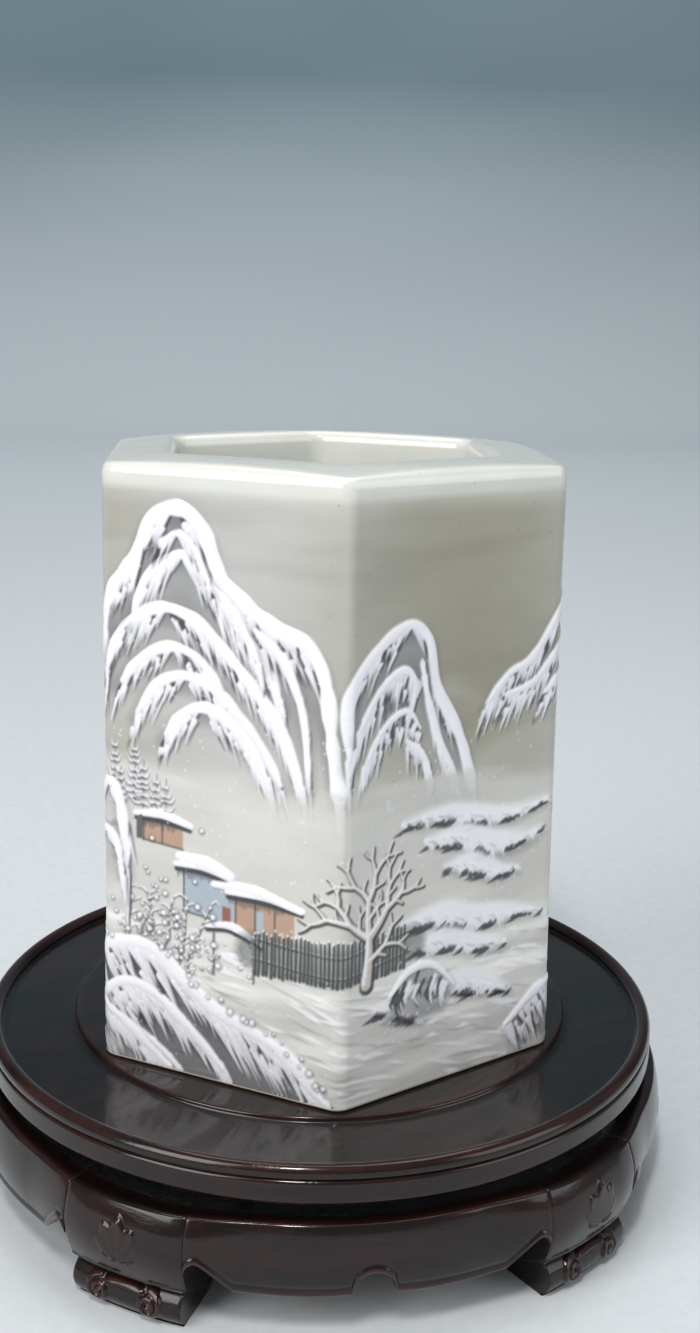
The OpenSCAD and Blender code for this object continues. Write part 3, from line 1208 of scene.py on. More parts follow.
    def river_banks(self) -> None:
        """Paints the banks that step down the right front face."""
        for line, thick in (
            ([(15, 58.5), (24, 59), (34, 57.5), (44, 56), (55, 57.5)], 3.4),
            ([(21, 54), (30, 53.5), (39, 50.5), (48, 50), (53, 51.5)], 4.4),
            ([(26, 47.5), (33, 47), (40, 44), (46, 43.5)], 4.0),
            ([(14, 37), (24, 37.5), (34, 35), (44, 34), (53, 32.5)], 4.4),
            ([(18, 31.5), (27, 31.5), (36, 28.5), (43, 27.5)], 4.0),
            ([(24, 22), (32, 21), (39, 18.5), (45, 16)], 4.2),
            ([(8, 20), (14, 19), (20, 15)], 3.0),
        ):
            self.bank(line, thick)

    def back_country(self) -> None:
        """Paints the banks, rocks, trees and pines of the other faces."""
        for start, height in (
            (62, 56), (84, 48), (104, 55), (130, 50), (158, 54), (184, 49), (208, 56), (234, 51), (256, 56)
        ):
            drop = self.jitter(1.5)
            near = [(start, height), (start + 9, height + drop)]
            self.bank([*near, (start + 19, height - 2.5), (start + 29, height - 2)], 4.2)
        for start, height in (
            (58, 33), (76, 22), (98, 34), (120, 24), (146, 33), (172, 21), (196, 33), (222, 24), (246, 33)
        ):
            drop = self.jitter(1.2)
            near = [(start, height), (start + 10, height + drop)]
            self.bank([*near, (start + 21, height - 2.8), (start + 31, height - 4)], 4.6)
        for u, v, size in ((92, 18, 9), (138, 15, 11), (188, 19, 8), (236, 14, 10), (262, 21, 8)):
            self.rock(u, v, size)
        for u, v, tall in ((82, 32, 24), (150, 30, 28), (203, 31, 22), (250, 30, 26)):
            self.tree(u, v, tall)
        for u, v, count in ((66, 55, 6), (118, 56, 8), (172, 55, 7), (226, 56, 6), (268, 55, 7)):
            self.pine_grove(u, v, count)

    def pine_grove(self, u: float, v: float, count: int) -> None:
        """Paints a clump of small snowy pines.

        Args:
            u: its place round the pot.
            v: its height.
            count: how many pines.
        """
        for i in range(count):
            at = u + (i - count / 2) * 2.5 + self.jitter(1.0)
            foot = v + self.jitter(2.6)
            tall = self.random.uniform(7, 14)
            self.stroke([(at, foot), (at + 0.2, foot + tall)], [0.7, 0.3], Ink.DARK, 0.55, 0.35)
            self.stroke([(at - 0.15, foot), (at, foot + tall)], [0.32, 0.15], Ink.SNOW, 0.85, 0.2, 0.12)
            for tier in range(int(tall / 1.5)):
                height = foot + 1.0 + tier * 1.5 + self.jitter(0.3)
                wide = (1 - tier * 1.5 / tall) * 2.6 + 0.5
                for side in (-1, 1):
                    reach = wide * self.random.uniform(0.6, 1.1) * side
                    low = [
                        (at, height - 0.3), (at + reach * 0.6, height - 0.5), (at + reach, height + 0.7)
                    ]
                    self.stroke(low, [0.8, 0.7, 0.2], Ink.DARK, 0.5, 0.45)
                    high = [(p, q + 0.32) for p, q in low]
                    self.stroke(high, [0.45, 0.45, 0.16], Ink.SNOW, 0.95, 0.2, 0.16)

    def tree(self, u: float, v: float, tall: float) -> None:
        """Paints a bare tree with snow along its branches.

        Args:
            u: its place round the pot.
            v: the height of its foot.
            tall: its height.
        """
        limbs: list[tuple[list, list]] = []

        def grow(at: np.ndarray, heading: float, long: float, wide: float, depth: int) -> None:
            """Adds a limb and the smaller limbs that leave it.

            Args:
                at: where it starts.
                heading: its angle.
                long: its length.
                wide: its width.
                depth: how many more forks.
            """
            bend = self.jitter(0.35)
            middle = at + long * 0.5 * np.array([math.cos(heading), math.sin(heading)])
            end = middle + long * 0.5 * np.array([math.cos(heading + bend), math.sin(heading + bend)])
            limbs.append(([tuple(at), tuple(middle), tuple(end)], [wide, wide * 0.82, wide * 0.62]))
            if depth == 0:
                return
            for turn in (-0.8, 0.1, 0.85) if depth > 3 else (-0.55, 0.5):
                share = self.random.uniform(0.6, 0.82)
                grow(
                    end, heading + bend + turn + self.jitter(0.2), long * share, wide * 0.68, depth - 1
                )
            if depth > 1:
                side = 1 if self.random.random() < 0.5 else -1
                grow(middle, heading + side * 0.9, long * 0.5, wide * 0.5, depth - 2)

        grow(np.array([u, v]), math.radians(84), tall * 0.3, tall * 0.1, 4)
        for path, widths in limbs:
            dark = [(a + 0.16, b - 0.2) for a, b in path]
            self.stroke(dark, [w + 0.34 for w in widths], Ink.DARK, 0.9, 0.22)
        for path, widths in limbs:
            light = [(a - 0.05, b + 0.12) for a, b in path]
            self.stroke(light, [w * 0.72 + 0.12 for w in widths], Ink.BARK, 1.0, 0.18, 0.2)
        for path, widths in limbs:
            if widths[0] > 0.35:
                top = [(a - w * 0.22, b + w * 0.22) for (a, b), w in zip(path, widths)]
                self.stroke(top, [w * 0.35 for w in widths], Ink.SNOW, 0.9, 0.18, 0.24)

    def house(self, left: float, right: float, low: float, high: float, wall: Ink) -> None:
        """Paints one wall with a snow-laden roof over it.

        Args:
            left: its left end.
            right: its right end.
            low: its foot.
            high: its eaves.
            wall: its colour.
        """
        self.patch([(left, low), (right, low - 0.8), (right, high - 0.8), (left, high)], wall)
        for i in range(int((right - left) / 4.6)):
            post = left + 0.3 + i * 4.6
            self.stroke([(post, low - 0.2), (post, high)], [0.32], Ink.DARK, 0.8, 0.15)
        self.stroke([(left, low), (right, low - 0.8)], [0.4], Ink.DARK, 0.7, 0.2)
        eave = [(left - 1.6, high - 0.6), ((left + right) / 2, high - 0.5), (right + 1.8, high - 1.6)]
        self.stroke(eave, [0.9, 1.1, 0.8], Ink.DARK, 0.95, 0.25)
        for i in range(int((right - left) * 1.6)):
            at = left - 1.2 + i / 1.6
            self.stroke(
                [(at, high - 0.7), (at + 0.1, high - 1.5 - self.random.random())], [0.4, 0.2],
                Ink.DARK, 0.8, 0.2
            )
        roof = [(left - 1.8, high + 0.5), ((left + right) / 2, high + 1.0), (right + 2.2, high - 0.6)]
        self.stroke(roof, [1.0, 1.9, 1.7, 0.9], Ink.SNOW, 1.0, 0.3, 0.36)

    def cottages(self) -> None:
        """Paints the hut and the cottage behind the fence on the left front face."""
        self.house(-47, -37, 50.5, 55.5, Ink.PANEL)
        self.patch([(-48.5, 50.5), (-47, 50.5), (-47, 56), (-48.5, 55)], Ink.GABLE)
        self.house(-37, -28, 36.5, 46, Ink.WALL)
        self.patch([(-29.5, 34.5), (-24.5, 34), (-24.5, 42.5), (-29.5, 43)], Ink.WALL)
        self.patch([(-27.4, 34.6), (-25.4, 34.4), (-25.4, 39), (-27.4, 39.2)], Ink.DOOR)
        self.house(-24.5, -10.5, 33.5, 42, Ink.PANEL)
        self.patch([(-19.3, 33.4), (-17.6, 33.3), (-17.6, 39.6), (-19.3, 39.7)], Ink.WALL)
        self.stroke(
            [(-38, 48.2), (-31, 47.6), (-25.5, 45.8)], [1.6, 3.2, 2.2], Ink.SNOW, 1.0, 0.3, 0.36
        )
        self.stroke([(-29.5, 43.6), (-20, 43.8), (-9, 41.2)], [1.4, 2.4, 1.2], Ink.SNOW, 1.0, 0.3, 0.36)
        self.stroke([(-31, 33.6), (-25, 34.4), (-18, 31.6)], [1.2, 2.0, 1.1], Ink.DARK, 0.9, 0.3)
        self.stroke([(-31, 34.4), (-25, 35.2), (-18, 32.4)], [1.0, 1.9, 1.0], Ink.SNOW, 1.0, 0.25, 0.34)
        for post in (-29.5, -20):
            self.stroke([(post, 33), (post + 0.1, 24)], [0.8, 0.7], Ink.TRUNK, 0.9, 0.2)
            self.stroke([(post - 0.3, 33), (post - 0.3, 25)], [0.3, 0.25], Ink.SNOW, 0.8, 0.2, 0.15)
        for _ in range(46):
            u = self.random.uniform(-36, -20)
            v = self.random.uniform(24, 32)
            self.dot(u, v, self.random.uniform(0.3, 0.7), 0.16, self.random.random() < 0.5)

    def village(self) -> None:
        """Paints the huts and fences of the other faces."""
        for u, v in ((100, 40), (160, 38), (213, 41)):
            self.house(u, u + 10, v, v + 7, Ink.WALL)
            self.house(u + 9, u + 17, v - 2, v + 4, Ink.PANEL)
            self.fence(u - 6, u + 16, v - 9)

    def fence(self, left: float, right: float, low: float) -> None:
        """Paints a fence of dark pickets with two rails and snow along it.

        Args:
            left: its left end.
            right: its right end.
            low: its foot.
        """
        sag = 0.045
        behind = [
            (left, low + 5), ((left + right) / 2, low + 4.6), (right, low + 5 + sag * (right - left))
        ]
        self.stroke(behind, [8.0], Ink.FENCE, 0.42, 2.0)
        for rail in (3.2, 7.6):
            path = [
                (left, low + rail), ((left + right) / 2, low + rail - 0.9), (
                    right, low + rail + sag * (right - left)
                )
            ]
            self.stroke(path, [0.45], Ink.FENCE, 0.95, 0.2)
            over = [(a, b + 0.34) for a, b in path]
            self.stroke(over, [0.28], Ink.SNOW, 0.85, 0.18, 0.15)
        count = int((right - left) / 0.95)
        for i in range(count):
            u = left + 0.4 + i * 0.95 + self.jitter(0.12)
            foot = low + sag * (u - left) + self.jitter(0.3)
            tall = 9.2 + self.jitter(0.5)
            self.stroke(
                [(u, foot), (u + self.jitter(0.2), foot + tall)], [0.72, 0.55], Ink.FENCE, 0.95, 0.2
            )
            self.stroke(
                [(u - 0.28, foot + 1), (u - 0.28, foot + tall)], [0.12, 0.2], Ink.SNOW, 0.55, 0.15
            )
            self.dot(u, foot + tall + 0.1, 0.5, 0.18)

    def thicket(self, u: float, v: float, wide: float, tall: float) -> None:
        """Paints twisted shrubs hung with beads of snow.

        Args:
            u: their place round the pot.
            v: their height.
            wide: how far they spread.
            tall: how tall they are.
        """
        for i in range(6):
            at = u + (i - 2.5) * wide / 3
            path = [(at, v - tall * 0.7)]
            for _ in range(4):
                last = path[-1]
                path.append((last[0] + self.jitter(1.8) + 0.5, last[1] + tall * 0.36))
            self.stroke(path, [1.1, 0.8, 0.3], Ink.DARK, 0.75, 0.4)
            self.stroke(
                [(a - 0.2, b + 0.15) for a, b in path], [0.7, 0.5, 0.2], Ink.BARK, 0.95, 0.2, 0.2
            )
            for p, q in smooth_path(path, 1.4):
                side = self.jitter(3.2)
                twig = [(p, q), (p + side * 0.6, q + 0.8), (p + side, q + 0.5 + self.jitter(0.8))]
                self.stroke(twig, [0.55, 0.45, 0.2], Ink.DARK, 0.6, 0.3)
                self.stroke(
                    [(a, b + 0.25) for a, b in twig], [0.4, 0.35, 0.2], Ink.SNOW, 0.95, 0.18, 0.2
                )
        for _ in range(110):
            spot = self.random.normal((u, v + 1), (wide * 0.75, tall * 0.6))
            self.dot(float(spot[0]), float(spot[1]), self.random.uniform(0.5, 1.1), 0.22, True)

    def rock(self, u: float, v: float, size: float) -> None:
        """Paints a folded rock with snow on its ridges.

        Args:
            u: its place round the pot.
            v: its height.
            size: half its width.
        """
        outline = [
            (u - size, v - size * 0.5), (u - size * 0.3, v - size * 0.72), (
                u + size * 0.7, v - size * 0.6
            ),
            (u + size, v), (u + size * 0.4, v + size * 0.66), (u - size * 0.4, v + size * 0.6),
        ]  # fmt: skip
        self.patch(outline, Ink.SHADE, 0.5, 2.6)
        for i in range(26):
            at = u + self.random.uniform(-0.85, 0.75) * size
            rise = max(0.12, 0.62 - 0.5 * abs(at - u) / size)
            high = v + size * rise * self.random.uniform(0.2, 1)
            long = size * self.random.uniform(0.25, 0.6)
            path = [
                (at + 0.5, high), (at - 0.5 + self.jitter(0.3), high - long * 0.5), (
                    at + self.jitter(0.8), high - long
                )
            ]
            ink, wide = (Ink.DARK, 0.8) if i % 2 else (Ink.SNOW, 1.1)
            self.stroke(path, [wide, wide * 0.9, 0.2], ink, 0.88, 0.3, 0.0 if i % 2 else 0.24)
        cap = [
            (u - size * 0.9, v + size * 0.1), (u - size * 0.3, v + size * 0.62),
            (u + size * 0.4, v + size * 0.6), (u + size, v)
        ]
        self.stroke(cap, [0.7, 1.9, 1.7, 0.6], Ink.SNOW, 1.0, 0.3, 0.34)
        for _ in range(16):
            self.dot(u + self.jitter(size), v + self.jitter(size * 0.6), 0.35, 0.15)

    def near_mound(self) -> None:
        """Paints the great bank in the lower left corner of the left front face."""
        cliff = [(-64, 47), (-60, 57), (-56, 62), (-53, 59.5), (-51.5, 51), (-51, 44)]
        self.wash(cliff, [(-64, 36), (-51, 38)], Ink.MIST, Ink.BODY, 0.8, 0.5)
        self.fold(Fold(cliff, 2.4, 13, None, 1.3))
        self.fold(Fold([(-63, 44), (-58, 51), (-54, 50), (-52, 43)], 1.8, 9, None, 1.2))
        crest = [
            (-62, 18), (-57, 25), (-50, 27.5), (-43, 26.3), (-36, 21), (-28, 16), (-19, 13),
            (-11, 9), (-3, 1.5)
        ]
        self.wash(crest, [(-62, 0), (-30, -2), (-3, -1)], Ink.SHADE, Ink.SHADE, 0.88, 0.9)
        self.fold(Fold(crest, 2.8, 15, -52, 1.5, 0.95))
        self.fold(
            Fold([(-60, 12), (-52, 18), (-44, 17), (-34, 10), (-26, 3)], 2.2, 12, -52, 1.45, 0.95)
        )
        self.fold(Fold([(-58, 5), (-51, 8.5), (-42, 4.5), (-36, 0)], 2.0, 9, -52, 1.4, 0.95))
        for u, v in smooth_path(crest, 1.3):
            if self.random.random() < 0.6:
                self.dot(
                    float(u) + self.jitter(1.0), float(v) + 2.2 + self.jitter(1.0),
                    self.random.uniform(0.5, 1.05), 0.22, True
                )
        for start, height in ((44, 8), (100, 10), (152, 7), (206, 10), (258, 8)):
            line = [
                (start, height), (start + 12, height + 7), (start + 25, height + 3),
                (start + 40, height - 7)
            ]
            self.wash(line, [(start, -2), (start + 40, -3)], Ink.BODY, Ink.BODY, 0.45, 0.8)
            self.fold(Fold(line, 2.4, 10, -60, 1.3, 0.7))

    def snowfall(self) -> None:
        """Scatters fine flakes over the lower half."""
        for _ in range(900):
            u = self.random.uniform(0, self.canvas.around)
            v = 4 + 74 * self.random.random() ** 0.8
            self.dot(u, v, self.random.uniform(0.22, 0.42), 0.12)

    def top_glaze(self) -> None:
        """Fades the painting into plain glaze under the shoulder, and on the upright edges as a painted
        highlight.
        """
        canvas = self.canvas
        v = ((np.arange(canvas.shape[0]) + 0.5) / canvas.density)[:, None]
        u = (np.arange(canvas.shape[1]) + 0.5) / canvas.density
        waver = (canvas.cloud(24, 10, 3) - 0.5) * 5
        plain = smooth_step(121, 130, v + waver)
        from_edge = np.abs((u + self.face / 2) % self.face - self.face / 2)
        # Painted highlight: a pale band along each upright edge, stronger towards the shoulder.
        thin = np.exp(-((from_edge / 1.3) ** 2)) * 0.22 * smooth_step(60, 110, v)
        plain = np.clip(plain + thin, 0, 1)
        plain = np.where(canvas.relief > 0.1, smooth_step(122, 128, v), plain)[..., None]
        canvas.colour[:] = canvas.colour * (1 - plain) + Ink.GLAZE.shade * plain
        canvas.colour[:] = np.clip(canvas.colour, 0.02, 1)


# --- The pot ---


@dataclass
class Pot:
    """The six-sided porcelain pot. Sizes are in millimetres above its own foot."""

    seat: float = 34.0
    flats: float = 97.5
    tall: float = 131.0
    edge_r: float = 4.0
    rim: float = 14.5
    mouth_corner_r: float = 5.0
    lip_r: float = 3.0
    dome_r: float = 450.0
    floor_up: float = 9.0
    hollow: float = 2.5
    foot_rim: float = 9.0
    paint_low: float = 1.3
    paint_high: float = 124.0
    waist: float = 0.35
    backing: float = 2.0
    columns: int = 200
    rows: int = 438

    def __post_init__(self) -> None:
        """Works out where each column of the pot's skin stands on the hexagon."""
        self.apothem = self.flats / 2
        self.face = 2 * self.apothem * math.tan(SIDE_ANGLE / 2)
        half_flat = (self.apothem - self.edge_r) * math.tan(SIDE_ANGLE / 2)
        half_arc = self.edge_r * SIDE_ANGLE / 2
        whole = 2 * (half_flat + half_arc)
        along = np.arange(SIDES * self.columns) / self.columns
        side = np.floor(along)
        way = (along - side) * whole
        self.u = along * self.face
        self.facing = (side + 0.5) * SIDE_ANGLE - math.pi / 2
        self.across = np.clip((way - half_arc - half_flat) / half_flat, -1, 1)
        past = np.where(way < half_arc, way - half_arc, np.maximum(0, way - half_arc - 2 * half_flat))
        self.normal_turn = self.facing + past / self.edge_r

    def ring(self, apothem: float, corner_r: float) -> np.ndarray:
        """One level hexagon with rounded corners, as x and y for each column.

        Args:
            apothem: from its middle to a flat.
            corner_r: its corners' radius.

        Returns:
            A point for each column.
        """
        inner = apothem - corner_r
        out = np.stack([np.cos(self.facing), np.sin(self.facing)], -1)
        along = np.stack([-np.sin(self.facing), np.cos(self.facing)], -1)
        corner = np.stack([np.cos(self.normal_turn), np.sin(self.normal_turn)], -1)
        shift = self.across * inner * math.tan(SIDE_ANGLE / 2)
        return inner * out + shift[:, None] * along + corner_r * corner

    def surface(self, profile: Sequence[tuple[float, float, float]]) -> np.ndarray:
        """Rings at heights.

        Args:
            profile: each ring's apothem, corner radius and height above the foot.

        Returns:
            Points by row and column, in millimetres.
        """
        rows = []
        for apothem, corner_r, high in profile:
            flat = self.ring(apothem, corner_r)
            rows.append(np.column_stack([flat, np.full(len(flat), high)]))
        return np.array(rows)

    def dome(self, points: np.ndarray) -> np.ndarray:
        """Presses the top under the rim's gentle dome, with a soft shoulder.

        Args:
            points: the surface.

        Returns:
            The pressed surface.
        """
        crest = (self.apothem - self.rim) / math.cos(SIDE_ANGLE / 2)
        base = self.tall - math.sqrt(self.dome_r**2 - crest**2)
        ceiling = base + np.sqrt(self.dome_r**2 - points[..., 0] ** 2 - points[..., 1] ** 2)
        gap = points[..., 2] - ceiling
        softness = 0.35
        eased = np.where(gap > -4, softness * np.logaddexp(0, gap / softness), 0)
        pressed = points.copy()
        pressed[..., 2] -= eased
        return pressed

    @staticmethod
    def normals(points: np.ndarray) -> np.ndarray:
        """Unit normals of a grid of points whose columns go round.

        Args:
            points: the grid.

        Returns:
            A normal for each point.
        """
        around = np.roll(points, -1, 1) - np.roll(points, 1, 1)
        up = np.gradient(points, axis=0)
        cross = np.cross(around, up)
        return cross / (np.linalg.norm(cross, axis=-1, keepdims=True) + 1e-12)

    def lean(self, high: np.ndarray) -> np.ndarray:
        """How far the wall draws in at each height, from drying and firing."""
        t = np.clip(high / self.tall, 0, 1)
        return -self.waist * 4 * t * (1 - t)

    def build(self, canvas: Canvas) -> None:
        """Makes the painted sides, the rim with the inside, and the foot.

        Args:
            canvas: the painting.
        """
        self.glaze = PaintedGlaze().build()
        self.sides(canvas)
        self.rim_and_inside(canvas)
        self.foot(canvas)

    def sides(self, canvas: Canvas) -> None:
        """Makes the six painted sides, with the enamel standing off them.

        Args:
            canvas: the painting.
        """
        high = np.linspace(self.paint_low, self.paint_high, self.rows + 1)
        draws = self.lean(high)
        points = self.surface([(self.apothem + d, self.edge_r, h) for d, h in zip(draws, high)])
        relief = canvas.sample(canvas.soften(canvas.relief, 1), self.u, high)
        outward = np.stack(
            [np.cos(self.normal_turn), np.sin(self.normal_turn), 0 * self.normal_turn], -1
        )
        points = points + (relief * 0.9)[..., None] * outward[None] + np.array([0, 0, self.seat])
        points[..., :2] *= INSIDE
        normals = self.normals(points)
        paint = to_linear(canvas.sample(canvas.soften(canvas.colour, 1), self.u, high))
        enamel = canvas.sample(canvas.soften(canvas.enamel, 1), self.u, high)
        for side in range(SIDES):
            pick = np.arange(side * self.columns, (side + 1) * self.columns + 1) % (SIDES * self.columns)
            front = points[:, pick]
            skin = Skin(
                np.concatenate([front, self.wall_back(side, front[:, 0, 2])], 1) * MM,
                shades={
                    "paint": np.pad(paint[:, pick], ((0, 0), (0, 2), (0, 0)), mode="edge"),
                    "enamel": np.pad(enamel[:, pick], ((0, 0), (0, 2)))[..., None],
                },
            )
            facing = np.pad(normals[:, pick], ((0, 0), (0, 2), (0, 0)), mode="edge")
            piece = skin.build(f"pot_side_{side + 1}", [self.glaze], facing)
            mount_piece(piece, "pot", ["pot_body"])

    def wall_back(self, side: int, levels: np.ndarray) -> np.ndarray:
        """The two hidden upright edges that close a side's block of wall.

        Args:
            side: which side.
            levels: the height of each row.

        Returns:
            Two points for each row, the far end of the side first.
        """
        reach = (self.apothem - self.rim + self.backing) / math.cos(SIDE_ANGLE / 2)
        turns = np.array([side + 1, side]) * SIDE_ANGLE - math.pi / 2
        flat = np.stack([reach * np.cos(turns), reach * np.sin(turns)], -1)
        back = np.empty((len(levels), 2, 3))
        back[..., :2] = flat
        back[..., 2] = levels[:, None]
        return back

    def rim_and_inside(self, canvas: Canvas) -> None:
        """Makes the shoulder, the domed rim, the lip, the inside walls and the inside floor.

        Args:
            canvas: the painting.
        """
        mouth = self.apothem - self.rim
        hidden = mouth + self.backing
        profile = [(hidden * share, 0.4, self.hollow + 0.6) for share in (0.15, 0.5, 0.9)]
        profile += [
            (hidden, 0.4, self.hollow + 0.7), (hidden, 0.4, 60.0), (hidden, 0.4, self.paint_high - 0.05)
        ]
        start = len(profile)
        profile += [(self.apothem - 1.0, self.edge_r, self.paint_high - 0.02)]
        profile += [
            (self.apothem + self.lean(np.array(h)), self.edge_r, h) for h in (self.paint_high, 125.5)
        ]
        centre = (self.apothem - self.edge_r, self.tall - self.edge_r)
        profile += [(a, self.edge_r, h) for a, h in arc(centre, self.edge_r, 0, 90, 12)]
        for share in np.linspace(0.08, 1, 9):
            apothem = centre[0] + (mouth + self.lip_r - centre[0]) * share
            corner = self.edge_r + (self.mouth_corner_r + self.lip_r - self.edge_r) * share
            profile.append((apothem, corner, self.tall))
        for turn in np.linspace(12, 90, 8):
            swing = math.radians(turn)
            inset = self.lip_r * (1 - math.sin(swing))
            drop = self.lip_r * (1 - math.cos(swing))
            profile.append((mouth + inset, self.mouth_corner_r + inset, self.tall - drop))
        for high in np.linspace(self.tall - 6, self.floor_up + 4, 14):
            profile.append((mouth, self.mouth_corner_r, high))
        for turn in np.linspace(15, 90, 6):
            swing = math.radians(turn)
            inset = 4 * (1 - math.cos(swing))
            profile.append(
                (mouth - inset, self.mouth_corner_r, self.floor_up + 4 * (1 - math.sin(swing)))
            )
        for share in (0.85, 0.7, 0.55, 0.4, 0.25, 0.12):
            profile.append(
                (
                    (mouth - 4) * share, min(self.mouth_corner_r, (mouth - 4) * share * 0.9), self.floor_up
                )
            )
        points = self.dome(self.surface(profile))
        points[..., 2] += self.seat
        points[..., :2] *= INSIDE
        high = points[:, 0, 2] - self.seat
        colour = np.empty((*points.shape[:2], 3))
        glaze = to_linear(Ink.GLAZE.shade)
        for row, level in enumerate(high):
            share = float(smooth_step(124, 126.5, level)) if row < start + 8 else 1.0
            under = to_linear(canvas.sample(canvas.colour, self.u, np.array([min(level, 126)]))[0])
            colour[row] = under * (1 - share) + glaze * share
        # The inside walls and floor are tinted a little darker and cooler than the glaze.
        inside = np.arange(len(high)) > len(high) - 27
        colour[inside] *= np.array([0.93, 0.95, 0.94])
        skin = Skin(
            points * MM,
            shades={"paint": colour, "enamel": colour[..., :1] * 0},
        )
        facing = np.concatenate([self.normals(points[: start + 1]), self.normals(points[start + 1 :])])
        piece = skin.build("pot_rim_and_inside", [self.glaze], facing)
        mount_piece(piece, "pot", ["pot_body"])

    def foot(self, canvas: Canvas) -> None:
        """Makes the bare foot rim and the glazed hollow under the pot.

        Args:
            canvas: the painting.
        """
        inner = self.apothem - self.foot_rim
        profile = [
            (inner * share, min(self.edge_r, inner * share * 0.9), self.hollow)
            for share in (0.12, 0.3, 0.6, 0.85, 0.97)
        ]
        profile += [
            (inner, self.edge_r, self.hollow - 0.5), (inner, self.edge_r, 0.6), (
                inner + 0.3, self.edge_r, 0.15
            )
        ]
        profile += [(inner + 0.9, self.edge_r, 0.02), (self.apothem - 4, self.edge_r, 0.02)]
        profile += [(self.apothem - 1.6, self.edge_r, 0.03)]
        profile += [
            (self.apothem - 0.9 + 0.9 * math.sin(t), self.edge_r, 0.93 - 0.9 * math.cos(t))
            for t in np.linspace(0.3, 1.5, 6)
        ]
        profile.append(
            (self.apothem + float(self.lean(np.array(self.paint_low))), self.edge_r, self.paint_low)
        )
        edge = len(profile)
        profile += [
            (self.apothem - 1.0, self.edge_r, self.paint_low + 0.02), (
                inner + 1.6, self.edge_r, self.paint_low + 0.02
            )
        ]
        profile += [
            (inner + 1.5, self.edge_r, self.hollow + 0.5), (
                inner * 0.6, self.edge_r, self.hollow + 0.55
            )
        ]
        profile += [(inner * 0.15, self.edge_r * 0.9, self.hollow + 0.55)]
        points = self.surface(profile)
        points[..., 2] += self.seat
        points[..., :2] *= INSIDE
        colour = np.empty((*points.shape[:2], 3))
        colour[:] = to_linear(Ink.GLAZE.shade)
        lowest = canvas.sample(canvas.colour, self.u, np.array([self.paint_low]))
        colour[edge - 2 : edge] = to_linear(lowest)[0]
        bare = np.array([1 if 5 <= row < edge - 3 else 0 for row in range(len(profile))])
        skin = Skin(
            points * MM,
            shades={"paint": colour, "enamel": colour[..., :1] * 0},
            row_material=bare,
        )
        facing = np.concatenate([self.normals(points[:edge]), self.normals(points[edge:])])
        piece = skin.build("pot_foot", [self.glaze, BareFoot().build()], facing)
        mount_piece(piece, "pot", ["pot_body"])


# --- The stand ---


def bump_at(value: np.ndarray, centre: float, wide: float) -> np.ndarray:
    """A round hump, 1 at the centre and 0 beyond wide."""
    t = np.clip(np.abs(value - centre) / wide, 0, 1)
    return (1 - t * t) ** 2


@dataclass
class TurningDisc:
    """The lacquered disc that turns, with its beaded edge, channel and raised seat."""

    under: float = 27.0
    outer_r: float = 77.3
    band_top: float = 32.2
    bead_centre: tuple[float, float] = (75.6, 33.3)
    bead_r: float = 1.7
    channel: float = 32.8
    seat_r: float = 57.2
    seat: float = 34.0
    segments: int = 320

    def profile(self) -> tuple[list, list, list]:
        """The section from the middle of the underside to the middle of the top.

        Returns:
            Its points, how worn each is, and how deep in a hollow.
        """
        points: list[tuple[float, float]] = [(r, self.under) for r in (0.6, 20, 40, 55, 66, 74)]
        wear_and_highlight = [0.0] * 6
        # Painted shade: the disc's underside is a little darker.
        hollow = [0.3] * 6
        # Each step: its points, its rubbing with painted highlight on crests, and its painted shade in the
        # channel and corners.
        steps = (
            (arc((self.outer_r - 1.2, self.under + 1.2), 1.2, -80, 0, 8), 0.5, 0.0),
            ([(self.outer_r, self.under + 2 + i * 0.45) for i in range(5)], 0.0, 0.0),
            (arc((self.outer_r - 0.9, self.band_top - 0.9), 0.9, 0, 75, 7), 0.5, 0.0),
            (
                [(self.outer_r - 1.05, self.band_top - 0.02),
                 (self.outer_r - 1.1, self.band_top + 0.06)], 0.0, 1.0
            ),
            (arc(self.bead_centre, self.bead_r, -32, 20, 6), 0.2, 0.15),
            (arc(self.bead_centre, self.bead_r, 30, 150, 13), 0.8, 0.0),
            (arc(self.bead_centre, self.bead_r, 160, 196, 5), 0.1, 0.4),
            ([(73.5, self.channel + 0.04), (72.9, self.channel)], 0.0, 1.0),
            ([(r, self.channel) for r in (72, 70, 67, 64, 61, 59.4)], 0.0, 0.1),
            (
                [(self.seat_r + 0.5, self.channel + 0.04),
                 (self.seat_r + 0.12, self.channel + 0.25)], 0.0, 0.9
            ),
            (arc((self.seat_r - 0.55, self.seat - 0.55), 0.55, 0, 90, 7), 0.75, 0.0),
            ([(r, self.seat) for r in (55.5, 50, 40, 28, 14, 0.6)], 0.1, 0.0),
        )
        for part, worn_and_lit, sunk in steps:
            points += part
            wear_and_highlight += [worn_and_lit] * len(part)
            hollow += [sunk] * len(part)
        return points, wear_and_highlight, hollow

    def build(self, wood: bpy.types.Material) -> None:
        """Makes the disc.

        Args:
            wood: its finish.
        """
        profile, wear_and_highlight, hollow = self.profile()
        turn = np.linspace(0, 2 * math.pi, self.segments, endpoint=False)
        section = np.array(profile)
        radius, high = section[:, 0][:, None], section[:, 1][:, None]
        wobble = 1 + 0.0002 * np.sin(turn * 3 + 0.6)[None, :] - 0.0002
        points = np.stack(
            [radius * wobble * np.cos(turn), radius * wobble * np.sin(turn), high + 0 * turn], -1
        )
        ragged = 0.6 + 0.4 * np.sin(turn * 7 + 1) * np.sin(turn * 17)
        shades = {
            "wear_and_highlight": (np.array(wear_and_highlight)[:, None] * ragged[None, :])[..., None],
            "hollow": np.repeat(np.array(hollow)[:, None], self.segments, 1)[..., None],
        }
        skin = Skin(points * MM, shades=shades)
        mount_piece(
            skin.build("turning_disc", [wood]), "turntable", ["turntable_disc"]
        )


